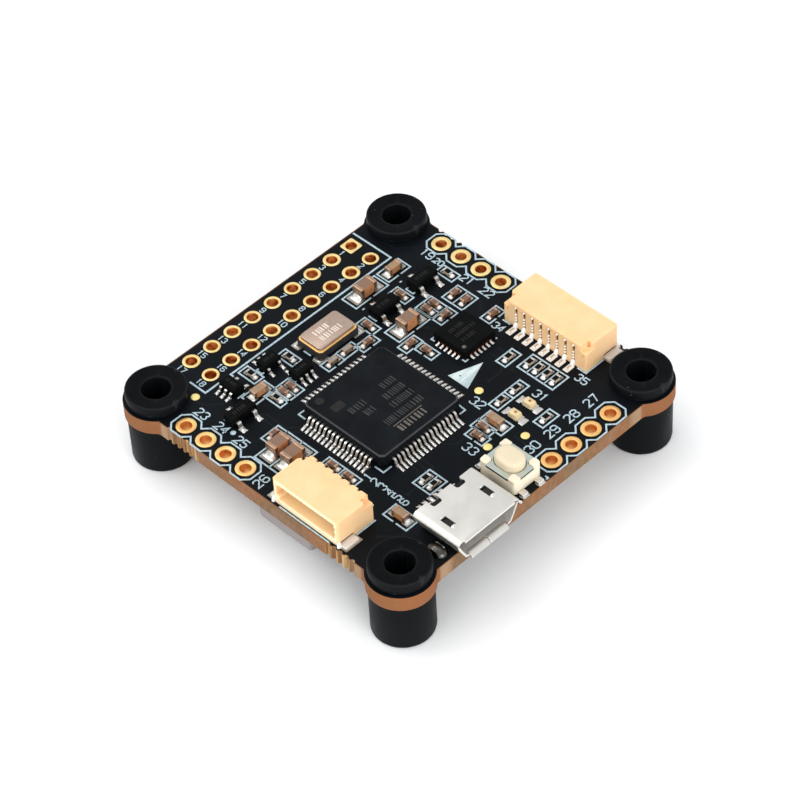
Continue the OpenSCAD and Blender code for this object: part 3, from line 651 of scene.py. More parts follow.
def two_ended(kind):
    """Each two-ended part's centre and its turn, 0 or 90 degrees, from its CAD body and end caps."""
    caps = [middle(b) for b in islands(kind + "_terminals")]
    found = []
    for box in islands(kind + "_bodies"):
        c = middle(box)
        near = sorted(caps, key=lambda p: (p - c).length)[:2]
        along = near[0] - near[1]
        found.append((c.x, c.y, 0.0 if abs(along.x) > abs(along.y) else 90.0))
    return found


# ---------------------------------------------------------------- camera, floor and light
AZIMUTH, ELEVATION, ROLL = 47.17, 45.92, -3.6
TARGET = Vector((1.15, -0.985, TOP)) * MM
DISTANCE = 0.2914
FOCAL_LENGTH, SENSOR = 147.8, 36


def camera():
    a, e, r = (math.radians(v) for v in (AZIMUTH, ELEVATION, ROLL))
    back = Vector((math.sin(a) * math.cos(e), -math.cos(a) * math.cos(e), math.sin(e)))
    right = Vector((math.cos(a), math.sin(a), 0))
    up = back.cross(right)
    x = right * math.cos(r) + up * math.sin(r)
    y = up * math.cos(r) - right * math.sin(r)
    data = bpy.data.cameras.new("camera")
    data.lens, data.sensor_width = FOCAL_LENGTH, SENSOR
    data.clip_start, data.clip_end = 0.01, 20
    made = link("camera", data)
    facing = Matrix((x, y, back)).transposed().to_4x4()
    made.matrix_world = Matrix.Translation(TARGET + back * DISTANCE) @ facing
    bpy.context.scene.camera = made


def area_light(name, where, size, power):
    """A square light, in metres and watts, that points at the origin."""
    data = bpy.data.lights.new(name, "AREA")
    data.shape, data.size, data.energy = "SQUARE", size, power
    made = link(name, data)
    made.location = where
    made.rotation_mode = "QUATERNION"
    made.rotation_quaternion = Vector(where).to_track_quat("Z", "Y")


def studio():
    scene = bpy.context.scene
    scene.world = bpy.data.worlds.new("studio")
    scene.world.use_nodes = True
    sky = scene.world.node_tree.nodes["Background"].inputs
    sky["Color"].default_value = (0.97, 0.985, 1.0, 1)
    sky["Strength"].default_value = 0.87
    area_light("key", (-0.22, -0.04, 0.44), 0.3, 0.4)
    area_light("right_fill", (0.42, -0.1, 0.2), 0.3, 1.1)
    area_light("left_strip", (-0.26, -0.24, 0.38), 0.16, 0.24)
    area_light("front_fill", (-0.02, -0.42, 0.2), 0.3, 0.4)
    mesh = bpy.data.meshes.new("floor")
    mesh.from_pydata([(x, y, 0) for x, y in rectangle(3, 3)], [], [(0, 1, 2, 3)])
    mesh.materials.append(plain("floor_paper", rgb(253, 253, 253), 0.85, 0.006, 60, 900, 0.002))
    link("floor", mesh)
    scene.view_settings.view_transform = "Standard"
    scene.view_settings.look = "None"


camera()
studio()


# ---------------------------------------------------------------- prints and tracks
INK_H = 0.022
LINE, THIN_LINE = 0.16, 0.12
PITCH = 2.54


def ribbon(solids, points, width=LINE, closed=False, height=INK_H, place=ON):
    """A flat line of even width with mitred corners."""
    pts = [Vector(p) for p in points]
    n = len(pts)
    left, right = [], []
    for i in range(n):
        d1 = (pts[i] - pts[i - 1]).normalized() if (i or closed) else None
        d2 = (pts[(i + 1) % n] - pts[i]).normalized() if (i < n - 1 or closed) else None
        d1, d2 = d1 or d2, d2 or d1
        normal = Vector((-(d1.y + d2.y), d1.x + d2.x))
        normal.normalize()
        reach = width / 2 / max(0.35, normal.dot(Vector((-d1.y, d1.x))))
        left.append(pts[i] + normal * reach)
        right.append(pts[i] - normal * reach)
    verts = [(p.x, p.y, h) for p in left + right for h in (0, height)]
    faces = []
    for i in range(n if closed else n - 1):
        j = (i + 1) % n
        a, b, c, d = 2 * i, 2 * j, 2 * (n + i), 2 * (n + j)
        faces += [[a + 1, c + 1, d + 1, b + 1], [a, b, d, c], [a, a + 1, b + 1, b], [c, d, d + 1, c + 1]]
    if not closed:
        e = n - 1
        faces += [[0, 2 * n, 2 * n + 1, 1], [2 * e, 2 * e + 1, 2 * (n + e) + 1, 2 * (n + e)]]
    solids.add(verts, faces, place)


# Each digit is one stroke on a grid 4 wide and 6 high
DIGITS = (
    [(1, 0), (3, 0), (4, 1), (4, 5), (3, 6), (1, 6), (0, 5), (0, 1), (1, 0)],
    [(1, 5), (2, 6), (2, 0)],
    [(0, 5), (1, 6), (3, 6), (4, 5), (4, 4), (0, 0), (4, 0)],
    [(0, 5), (1, 6), (3, 6), (4, 5), (4, 4), (3, 3), (4, 2), (4, 1), (3, 0), (1, 0), (0, 1)],
    [(3, 0), (3, 6), (0, 2), (4, 2)],
    [(4, 6), (0, 6), (0, 3.4), (3, 3.4), (4, 2.6), (4, 1), (3, 0), (1, 0), (0, 1)],
    [(4, 5), (3, 6), (1, 6), (0, 5), (0, 1), (1, 0), (3, 0), (4, 1), (4, 2.5), (3, 3.4), (0, 3)],
    [(0, 6), (4, 6), (1.6, 0)],
    [(1, 3.2), (0, 4), (0, 5), (1, 6), (3, 6), (4, 5), (4, 4), (3, 3.2), (1, 3.2), (0, 2.2), (0, 1), (1, 0),
     (3, 0), (4, 1), (4, 2.2), (3, 3.2)],
    [(0, 1), (1, 0), (3, 0), (4, 1), (4, 5), (3, 6), (1, 6), (0, 5), (0, 3.6), (1, 2.8), (4, 3)],
)


def number(solids, value, x, y, height=0.8, turn=0.0, width=0.13):
    """Plain digits, centred on a point."""
    text = str(value)
    unit = height / 6
    advance = 5.4 * unit
    start = -(advance * len(text) - 1.4 * unit) / 2
    for k, char in enumerate(text):
        line = [(start + k * advance + px * unit, (py - 3) * unit) for px, py in DIGITS[int(char)]]
        ribbon(solids, line, width, place=ON @ shifted(x, y, 0, turn))


# Copper tracks show as low ridges under the mask. Each ends in a via, a small filled dot.
tracks = Solids("trace")
for line in (
    [(-3.0, -9.3), (-3.9, -10.2), (-6.4, -10.2), (-8.0, -11.8)], [(-2.4, -9.4), (-3.6, -10.8), (-6.0, -10.8)],
    [(6.8, -6.0), (8.2, -6.0), (9.6, -7.4), (9.6, -8.6)], [(6.8, -5.4), (8.6, -5.4), (10.4, -7.2)],
    [(6.8, -4.8), (9.0, -4.8), (10.8, -6.6)], [(6.8, -2.2), (7.8, -2.2), (8.6, -1.4), (8.6, -0.2)],
    [(4.2, -8.9), (4.2, -10.0), (3.2, -11.0)], [(3.6, -8.9), (3.6, -9.8)],
    [(-4.7, 0.2), (-5.4, 0.9), (-5.4, 3.4)], [(-4.7, -0.4), (-5.9, 0.8), (-5.9, 2.6)],
    [(-5.0, -5.6), (-6.2, -5.6), (-7.2, -6.6)], [(3.0, 8.6), (4.4, 8.6), (5.4, 7.6), (5.4, 6.0)],
    [(3.0, 9.6), (4.8, 9.6), (6.0, 8.4)], [(-4.0, 12.9), (-2.2, 12.9), (-1.4, 12.1)],
    [(11.6, 2.6), (13.4, 2.6), (14.6, 3.8)], [(7.6, 1.2), (9.0, 1.2), (9.9, 2.1)],
    [(-12.6, -13.2), (-11.4, -13.2), (-10.2, -12.0)], [(-5.2, 6.4), (-4.2, 6.4), (-3.4, 7.2)],
    [(-15.0, 12.6), (-13.0, 12.6), (-11.6, 14.0)], [(12.6, -11.2), (12.6, -12.4), (11.2, -13.8)],
):
    ribbon(tracks, line, 0.24, height=0.008)
    tracks.prism(circle(0.24, 20, *line[-1]), 0, 0.01, ON)
tracks.make("masked_tracks", None)

ink = Solids("ink")


def ink_box(x, y, w, d, gap=None, gap_w=0.3):
    """A printed box round a part. gap names a side, E or S, that is open in its middle."""
    x0, x1, y0, y1 = x - w / 2, x + w / 2, y - d / 2, y + d / 2
    if gap == "E":
        ribbon(ink, [(x1, y + gap_w / 2), (x1, y1), (x0, y1), (x0, y0), (x1, y0), (x1, y - gap_w / 2)])
    elif gap == "S":
        ribbon(ink, [(x + gap_w / 2, y0), (x1, y0), (x1, y1), (x0, y1), (x0, y0), (x - gap_w / 2, y0)])
    else:
        ribbon(ink, span(x0, x1, y0, y1), closed=True)


def pad_chain(x, y, turn):
    """The octagon-edged line round a row of four pads, notched between them."""
    half, cut = PITCH / 2, PITCH / 4
    line = [(-2 * PITCH, -cut)]
    for k in range(4):
        c = (k - 1.5) * PITCH
        line += [(c - cut, -half), (c + cut, -half), (c + half, -cut)]
    ribbon(ink, line + [(px, -py) for px, py in reversed(line)], closed=True, place=shifted(x, y, TOP, turn))


ROWS = {}
for key in ("header", "front", "rear", "right"):
    ROWS[key] = [middle(b) for b in islands(key + "_plated_holes")]
for key, turn in (("front", 0), ("rear", 0), ("right", 90)):
    c = sum(ROWS[key], Vector((0, 0, 0))) / len(ROWS[key])
    pad_chain(c.x, c.y, turn)


# ---------------------------------------------------------------- plated holes
# The pads on the ground plane, which are slightly wider, by row
GROUND = {"header": ((-16, 7.5), (-13.5, 7.5), (-16, -10.5)), "front": ((-5, -16),), "rear": ((-10.5, 16),),
          "right": ()}


def plated(key):
    """Rings and barrels with rounded rims. The header's first pad is square."""
    low, high = islands(key + "_plated_holes")[0]
    outer, hole, lift = (high.x - low.x) / 2, 0.54, 0.05
    solids = Solids("gold")
    top, bottom = TOP + lift, BOTTOM - lift
    first = min(ROWS[key], key=lambda p: (round(p.x, 1), -p.y))

    def square(a):
        return min(1.0 / max(abs(math.cos(a)), abs(math.sin(a))), 1.34) * 0.97
    for p in ROWS[key]:
        wide = any(abs(p.x - gx) < 1.2 and abs(p.y - gy) < 1.2 for gx, gy in GROUND[key])
        ring = outer if wide else outer * 0.95
        profile = [
            (hole, bottom + 0.05), (hole + 0.015, bottom + 0.012), (hole + 0.06, bottom),
            (ring - 0.05, bottom, 1), (ring - 0.01, bottom + 0.015, 1), (ring, bottom + lift, 1),
            (hole + 0.06, BOTTOM), (hole + 0.06, TOP),
            (ring, top - lift, 1), (ring - 0.01, top - 0.015, 1), (ring - 0.05, top, 1),
            (hole + 0.06, top), (hole + 0.015, top - 0.012), (hole, top - 0.05),
        ]
        is_square = key == "header" and p is first
        solids.lathe(profile, 48, shifted(p.x, p.y), reach=square if is_square else None)
    solids.make(key + "_rings_and_barrels", "gold_plating", [key + "_plated_holes"], smooth=50)


for key in ROWS:
    plated(key)

dots = Solids("test_gold", "crystal_ring")
for box in islands("test_points"):
    c, r = middle(box), (box[1].x - box[0].x) / 2
    levels = [(r - 0.03, 0.0), (r - 0.04, 0.03), (r - 0.08, 0.045), (r - 0.11, 0.05)]
    dots.layers(circle, levels, on_top(c.x, c.y), 0, (2, 1))
dots.make("test_pads", "gold_plating", ["test_points"])


# ---------------------------------------------------------------- grommets
def grommet(corner):
    low, high = box_mm(corner + "_grommet")
    c, r, h = (low + high) / 2, (high.x - low.x) / 2, high.z
    bore, neck, flange = 1.35, 2.0, 2.85
    profile = [
        # the leg, from the bore at the floor up to the board
        (bore + 0.12, 0.0), (r - 0.3, 0.0), (r - 0.14, 0.05), (r - 0.04, 0.16), (r, 0.36),
        (r, BOTTOM - 0.5), (r - 0.02, BOTTOM - 0.12), (r - 0.1, BOTTOM),
        # the neck in the ear, and the flange above it
        (neck, BOTTOM), (neck, TOP), (flange - 0.3, TOP), (flange - 0.12, TOP + 0.05),
        (flange - 0.03, TOP + 0.18), (flange, TOP + 0.4), (flange, h - 0.2), (flange - 0.03, h - 0.08),
        (flange - 0.1, h - 0.015), (flange - 0.2, h), (flange - 0.45, h - 0.02),
        # the dished top, and back down the bore
        (bore + 0.3, h - 0.08), (bore + 0.1, h - 0.12), (bore + 0.02, h - 0.18), (bore, h - 0.28),
        (bore, 0.16), (bore + 0.04, 0.05),
    ]
    solids = Solids("rubber")
    solids.lathe(profile, 96, shifted(c.x, c.y))
    solids.make(corner + "_rubber_grommet", "rubber", [corner + "_grommet"], smooth=60)


for corner in ("front_left", "front_right", "rear_left", "rear_right"):
    grommet(corner)


# ---------------------------------------------------------------- solder and leads
solder, lands = Solids("solder"), Solids("land")
# White blobs that stand as painted highlights, and lands in pale tin that stand as painted light
painted_glints, painted_light_lands = Solids("painted_highlight_solder"), Solids("painted_light_tin")
marks = Solids("mark", "dark_mark", "small_mark", "dimple", "lid_mark")
MARK, DARK_MARK, SMALL_MARK, DIMPLE, LID_MARK = range(5)
MARK_H = 0.006


def joint_heap(place, size, rise):
    """A solder joint: a thin land that swells into a low mound."""
    def height(u, v):
        edge = max(abs(u), abs(v))
        return 0.03 + rise * (1 - u * u) * (1 - v ** 4) if edge < 1 else 0.02
    solder.heap(size, height, place, steps=(6, 4))


def end_fillet(place, reach, width, rise):
    """Solder that climbs an end face, hollow in section and lower at its sides. Local X leads away."""
    def height(u, v):
        t = (u + 1) / 2
        side = max(0.0, 1 - abs(v) ** 2.5)
        return 0.025 + rise * (0.25 + 0.75 * side) * (1 - t) ** 2.4 + 0.05 * side * math.sin(math.pi * t)
    solder.heap((reach, width), height, place @ shifted(reach / 2, 0), steps=(7, 6))


def land(place, size, height=0.03):
    lands.prism(rounded(rectangle(*size), 0.06, 2), 0, height, place)


def dome(solids, place, length, width, rise):
    """A low rounded blob on an oval base."""
    base = long_round(length, width, 12)
    turns = [math.radians(84) * k / 5 for k in range(6)]
    levels = [(math.cos(a), rise * math.sin(a)) for a in turns]
    solids.layers(lambda s: [(x * s, y * s) for x, y in base], levels, place)


def gull_outline(reach, rise, foot, t, run, bend=0.12):
    """Side view of a lead that leaves at height rise, bends down over run and stands on its foot."""
    knee, ankle = reach - foot - run, reach - foot
    mid = [Vector(p) for p in ((0.0, rise + t / 2), (knee, rise + t / 2), (ankle, t / 2), (reach, t / 2))]
    path = [mid[0]]
    for a, p, b in zip(mid, mid[1:], mid[2:]):
        s, e = p + (a - p).normalized() * bend, p + (b - p).normalized() * bend
        for k in range(5):
            w = k / 4
            path.append(s * (1 - w) ** 2 + p * 2 * w * (1 - w) + e * w * w)
    path.append(mid[3])
    up, down = [], []
    for i, p in enumerate(path):
        d = (path[min(i + 1, len(path) - 1)] - path[max(i - 1, 0)]).normalized()
        normal = Vector((-d.y, d.x))
        up.append(tuple(p + normal * t / 2))
        down.append(tuple(p - normal * t / 2))
    return up[::-1] + down


def lead_row(solids, place, count, pitch, face, lead, wet, slot=0, run=0.16):
    """Leads along a part's +X side, each in solder wet mm longer than its foot."""
    reach, rise, foot, t, w = lead
    outline = gull_outline(reach, rise, foot, t, run)
    for i in range(count):
        at = place @ shifted(face, (i - (count - 1) / 2) * pitch)
        solids.side(outline, w, at, slot)
        joint_heap(at @ shifted(reach - foot / 2 + 0.08, 0), (foot + wet, w * 1.3), t * 0.9)


def package(solids, size, gap, bevel, place, corner, taper, edge=None):
    """A moulded package, drafted above and below its parting line, with cut corners and a chamfered top."""
    w, d, h = size
    split = gap + (h - gap) * 0.45
    levels = [(2 * taper, gap), (0.0, split - 0.02), (0.0, split + 0.02), (1.2 * taper, h - bevel * 0.5),
              (1.2 * taper + bevel, h)]
    solids.layers(lambda inset: cut_rectangle(w - inset, d - inset, corner), levels, place, 0,
                  (3, edge) if edge else None)


def bars(place, rows, left, top, step, height, seed, slot, widths=(0.09, 0.12, 0.15), gap=0.15):
    """Rows of short plain strokes where a chip has its markings. rows gives how many are in each."""
    draw = random.Random(seed)
    for r, count in enumerate(rows):
        x = left
        for _ in range(count):
            w = draw.choice(widths)
            marks.prism(rectangle(w, height), 0, MARK_H, place @ shifted(x + w / 2, top - r * step), slot)
            x += w + gap * draw.choice((0.8, 1.0, 1.6))


# ---------------------------------------------------------------- chips
c = centre_mm("microcontroller_body")
at = on_top(c.x, c.y)
# The chamfer band round the top is paler: a painted highlight
chip = Solids("compound", "compound_edge_highlight")
package(chip, (10, 10, 1.5), 0.1, 0.24, at, corner=0.35, taper=0.12, edge=1)
roof = at @ shifted(0, 0, 1.5)
marks.prism(circle(0.42, 32), -0.01, MARK_H, roof @ shifted(-4.0, -3.75), SMALL_MARK)
marks.prism(circle(0.6, 36), -0.01, 0.003, roof @ shifted(-3.5, 3.5), DIMPLE)
roof = roof @ spin(270)
bars(roof, (8,), -1.7, 3.6, 1, 0.78, 3, MARK, widths=(0.16, 0.24), gap=0.17)
marks.prism(rectangle(3.5, 0.09), 0, MARK_H, roof @ shifted(-0.2, 3.0), MARK)
bars(roof, (16, 10, 9, 6), -2.7, 2.25, 1.15, 0.76, 5, DARK_MARK)
bars(roof, (4, 6), 1.1, 0.1, 1.15, 0.76, 9, DARK_MARK)
marks.prism(cut_rectangle(1.3, 0.9, 0.1), 0, MARK_H, roof @ shifted(3.1, -2.35), SMALL_MARK)
chip.make("microcontroller_package", "mould_compound", ["microcontroller_body"], bevel=0.03, angle=25)

leads = Solids("tin")
for turn in (0, 90, 180, 270):
    lead_row(leads, at @ spin(turn), 16, 0.5, 4.9, (1.1, 0.62, 0.42, 0.16, 0.23), 0.66, run=0.28)
leads.make("microcontroller_gull_leads", "tin_plating", ["microcontroller_leads"])

# Motion sensor
c = centre_mm("motion_sensor_body")
at = on_top(c.x, c.y)
chip = Solids("dark_compound")
levels = [(3.98, 0.02), (4.0, 0.2), (4.0, 0.9), (3.94, 0.95)]
chip.layers(lambda s: cut_rectangle(s, s, 0.08), levels, at)
marks.prism(circle(0.2, 24), -0.01, MARK_H, at @ shifted(1.38, -1.47, 0.95), MARK)
bars(at @ shifted(0, 0, 0.95, 90), (7, 9, 6), -1.0, 0.9, 0.8, 0.42, 8, SMALL_MARK)
chip.make("motion_sensor_package", "mould_compound", ["motion_sensor_body"], bevel=0.04)
terminals = Solids("tin", "copper")
for turn in (0, 90, 180, 270):
    for i in range(6):
        side = at @ spin(turn) @ shifted(1.86, (i - 2.5) * 0.5)
        terminals.block((0.34, 0.24, 0.26), side, 1)
        end_fillet(side @ shifted(0.18, 0), 0.4, 0.27, 0.16)
terminals.block((2.6, 2.6, 0.02), at)
terminals.make("motion_sensor_edge_terminals", "tin_plating", ["motion_sensor_terminals"], bevel=0.02)

# Crystal: a ceramic tub with scooped corners, a gold seal and a metal lid
c = centre_mm("crystal_base")
at = on_top(c.x, c.y)
tub = Solids("crystal_base")
outline = []
for sx, sy in ((1, -1), (1, 1), (-1, 1), (-1, -1)):
    scoop = []
    for k in range(6):
        a = math.pi / 2 * k / 5
        scoop.append((sx * (1.6 - 0.22 * math.cos(a)), sy * (2.5 - 0.22 * math.sin(a))))
    outline += scoop if sx * sy < 0 else scoop[::-1]
tub.prism(outline, 0.06, 0.75, at)
tub.make("crystal_ceramic_base", "crystal_ceramic", ["crystal_base"], bevel=0.03)
ring = Solids("crystal_ring")
ring.prism(rounded(rectangle(3.04, 4.84), 0.42, 6), 0.74, 0.87, at)
ring.make("crystal_gold_seal", "seal_gold", ["crystal_seal_ring"], bevel=0.06, segments=3)
lid = Solids("lid")
levels = [(2.76, 4.56, 0.86), (2.76, 4.56, 1.1), (2.72, 4.52, 1.15), (2.64, 4.44, 1.17)]
lid.layers(soft_box(0.4, 6), levels, at)
roof = at @ shifted(0, 0, 1.17, 90)
bars(roof, (6, 9), -1.25, 0.45, 0.9, 0.66, 11, LID_MARK, widths=(0.11, 0.15), gap=0.14)
lid.make("crystal_metal_lid", "lid_metal", ["crystal_lid"], bevel=0.03)
feet = Solids("tin")
for sx, sy in CORNERS:
    feet.block((0.95, 1.1, 0.09), at @ shifted(sx * 1.3, sy * 2.2))
    land(at @ shifted(sx * 1.38, sy * 2.3), (0.95, 1.3), 0.05)
    joint_heap(at @ shifted(sx * 1.5, sy * 2.62), (0.6, 0.45), 0.12)
feet.make("crystal_corner_terminals", "tin_plating", ["crystal_terminals"], bevel=0.02)


# Two-ended parts: length, width, height, end cap and the land's reach beyond the part
SIZES = {
    "large": (2.0, 1.25, 1.25, 0.4, 0.75), "medium": (1.6, 0.8, 0.8, 0.3, 0.4),
    "small": (1.0, 0.5, 0.5, 0.22, 0.28), "resistor": (1.0, 0.5, 0.35, 0.2, 0.24),
}


def chip_set(size, kind, colours, place_on=on_top):
    """Capacitors or resistors of one kind, each a little askew in its solder."""
    length, width, height, cap, reach = SIZES[size]
    film = size == "resistor"
    bodies = Solids(*colours)
    ends = Solids("tin", "tin") if film else Solids("cap_end", "cap_edge")
    draw = random.Random(kind + "_bodies")
    between = length - 2 * cap
    for x, y, turn in two_ended(kind):
        at = place_on(x, y, turn + draw.uniform(-1.6, 1.6))
        if film:
            bodies.block((between + 0.04, width - 0.03, height - 0.06), at @ shifted(0, 0, 0.02), 1)
            bodies.block((between + 0.02, width - 0.07, 0.04), at @ shifted(0, 0, height - 0.05), 0)
        else:
            pale = size == "small" and x < -6 and -2.2 < y < 1
            bodies.block((between + 0.04, width - 0.04, height - 0.05), at @ shifted(0, 0, 0.02), int(pale))
        for end in (0, 180):
            side = at @ spin(end)
            ends.block((cap, width, height), side @ shifted((length - cap) / 2, 0))
            land(side @ shifted(length / 2 + reach / 2 - 0.15, 0), (reach + 0.3, width * 1.16))
            rise = height * draw.uniform(0.38, 0.6)
            end_fillet(side @ shifted(length / 2 - 0.03, 0), reach * 0.72, width * 0.98, rise)
            if size != "large" and end == (180 if turn else 0):
                # The end that faces the light has a bright white bead: a painted highlight
                rise = height * (0.72 if film else 0.5)
                dome(painted_glints, side @ shifted(length / 2 + 0.05, 0), 0.3 + width * 0.24, width * 0.86, rise)
    name, slot = ("resistor_chips", "resistor_film") if film else (kind + "_ceramics", "capacitor_ceramic")
    bodies.make(name, slot, [kind + "_bodies"], bevel=0.035 * min(1.6, height * 1.6))
    ends.make(kind + "_end_caps", "tin_plating", [kind + "_terminals"],
              bevel=0.055 * min(1.6, height * 1.4), edge=1)


chip_set("large", "large_capacitor", ("large_cap",))
chip_set("medium", "medium_capacitor", ("medium_cap",))
chip_set("small", "small_capacitor", ("small_cap", "pale_cap"))
chip_set("resistor", "resistor", ("film", "alumina"))
chip_set("large", "underside_capacitor", ("large_cap",), underneath)

# Status lights
bases, lenses, ends = Solids("led_base"), Solids("lens", "die"), Solids("tin")
for box in islands("led_bases"):
    c = middle(box)
    at = on_top(c.x, c.y)
    bases.block((1.04, 0.78, 0.2), at)
    levels = [(1.1, 0.78, 0.19), (1.1, 0.78, 0.34), (0.96, 0.7, 0.56), (0.8, 0.6, 0.6)]
    lenses.layers(soft_box(0.08, 3), levels, at)
    lenses.prism(rectangle(0.24, 0.24), 0.595, 0.612, at @ shifted(0.04, 0.02), 1)
    for end in (0, 180):
        side = at @ spin(end)
        ends.block((0.3, 0.78, 0.22), side @ shifted(0.66, 0))
        end_fillet(side @ shifted(0.78, 0), 0.48, 0.92, 0.16)
bases.make("led_carriers", "led_base", ["led_bases"], bevel=0.02)
lenses.make("led_resin_lenses", "led_resin", ["led_lenses"])
ends.make("led_end_terminals", "tin_plating", ["led_terminals"], bevel=0.03)


def small_set(kind, size, bevel, taper, strokes, sides, face, lead, wet, turn_of):
    """Small leaded chips. strokes: count, start and height. sides: leads and pitch on the +X and -X sides."""
    chips, leads = Solids("dark_compound"), Solids("tin")
    count, start, tall = strokes
    for box in islands(kind + "_bodies"):
        c = middle(box)
        at = on_top(c.x, c.y, turn_of(box))
        package(chips, size, 0.08, bevel, at, corner=0.05, taper=taper)
        bars(at @ shifted(0, 0, size[2], 90), (count,), start, 0, 1, tall, 4, SMALL_MARK)
        for (ways, pitch), turn in zip(sides, (0, 180)):
            lead_row(leads, at @ spin(turn), ways, pitch, face, lead, wet)
    chips.make(kind + "_packages", "mould_compound", [kind + "_bodies"], bevel=0.03)
    leads.make(kind + "_gull_leads", "tin_plating", [kind + "_leads"])


def logic_turn(box):
    if box[1].x - box[0].x > box[1].y - box[0].y:
        return 270
    return 180 if middle(box).x < -9 else 0


small_set("transistor", (1.3, 2.9, 1.1), 0.16, 0.05, (6, -0.85, 0.42), ((2, 1.9), (1, 1.9)), 0.62,
          (0.72, 0.5, 0.3, 0.13, 0.42), 0.5, lambda box: 0)
small_set("logic_chip", (1.25, 2.0, 0.95), 0.14, 0.04, (5, -0.6, 0.36), ((3, 0.65), (2, 1.3)), 0.6,
          (0.55, 0.38, 0.26, 0.12, 0.26), 0.4, logic_turn)


# ---------------------------------------------------------------- the lower face
def lower_chip(name, size, count, pitch, lead, rows):
    c = centre_mm(name + "_body")
    at = underneath(c.x, c.y)
    w, d, h = size
    chips, leads = Solids("compound"), Solids("tin")
    package(chips, size, 0.1, 0.24, at, corner=0.08, taper=0.07)
    marks.prism(circle(0.28, 24), -0.01, MARK_H, at @ shifted(-w / 2 + 0.7, d / 2 - 0.7, h), MARK)
    bars(at @ shifted(0, 0, h, 90), rows, -d / 2 + 0.9, 0.5, 0.8, 0.42, 21, MARK)
    for turn in (0, 180):
        lead_row(leads, at @ spin(turn), count, pitch, w / 2 - 0.04, lead, 0.5)
    chips.make(name + "_package", "mould_compound", [name + "_body"], bevel=0.04)
    leads.make(name + "_gull_leads", "tin_plating", [name + "_leads"])


lower_chip("buck_converter", (3.9, 4.9, 1.6), 4, 1.27, (1.09, 0.68, 0.6, 0.2, 0.42), (11, 9))
lower_chip("video_overlay", (4.4, 9.7, 1.05), 14, 0.65, (1.04, 0.4, 0.6, 0.14, 0.24), (22, 16))

c = centre_mm("overlay_crystal")
at = underneath(c.x, c.y)
can = Solids("lid", "crystal_base")
can.prism(cut_rectangle(3.2, 2.5, 0.12), 0.02, 0.42, at, 1)
levels = [(2.9, 2.2, 0.41), (2.9, 2.2, 0.66), (2.8, 2.1, 0.74), (2.5, 1.8, 0.75)]
can.layers(soft_box(0.3, 5), levels, at)
can.make("overlay_crystal_can", "lid_metal", ["overlay_crystal"], bevel=0.02)
for sx, sy in CORNERS:
    joint_heap(at @ shifted(sx * 1.3, sy * 1.0), (0.95, 0.9), 0.1)

c = centre_mm("power_inductor_core")
at = underneath(c.x - 0.15, c.y)
core = Solids("ferrite")
levels = [(6.6, 6.9, 0.15), (6.7, 7.0, 0.3), (6.7, 7.0, 2.7), (6.62, 6.92, 2.88), (6.4, 6.7, 3.0)]
core.layers(soft_box(0.45, 5), levels, at)
core.make("inductor_core", "ferrite", ["power_inductor_core"])
clips = Solids("tin")
for s in (-1, 1):
    clips.block((1.5, 6.0, 0.17), at @ shifted(s * 2.5, 0))
    for e in (-1, 1):
        joint_heap(at @ shifted(s * 2.5, e * 3.2), (1.8, 0.8), 0.2)
clips.make("inductor_terminals", "tin_plating", ["power_inductor_terminals"], bevel=0.04)


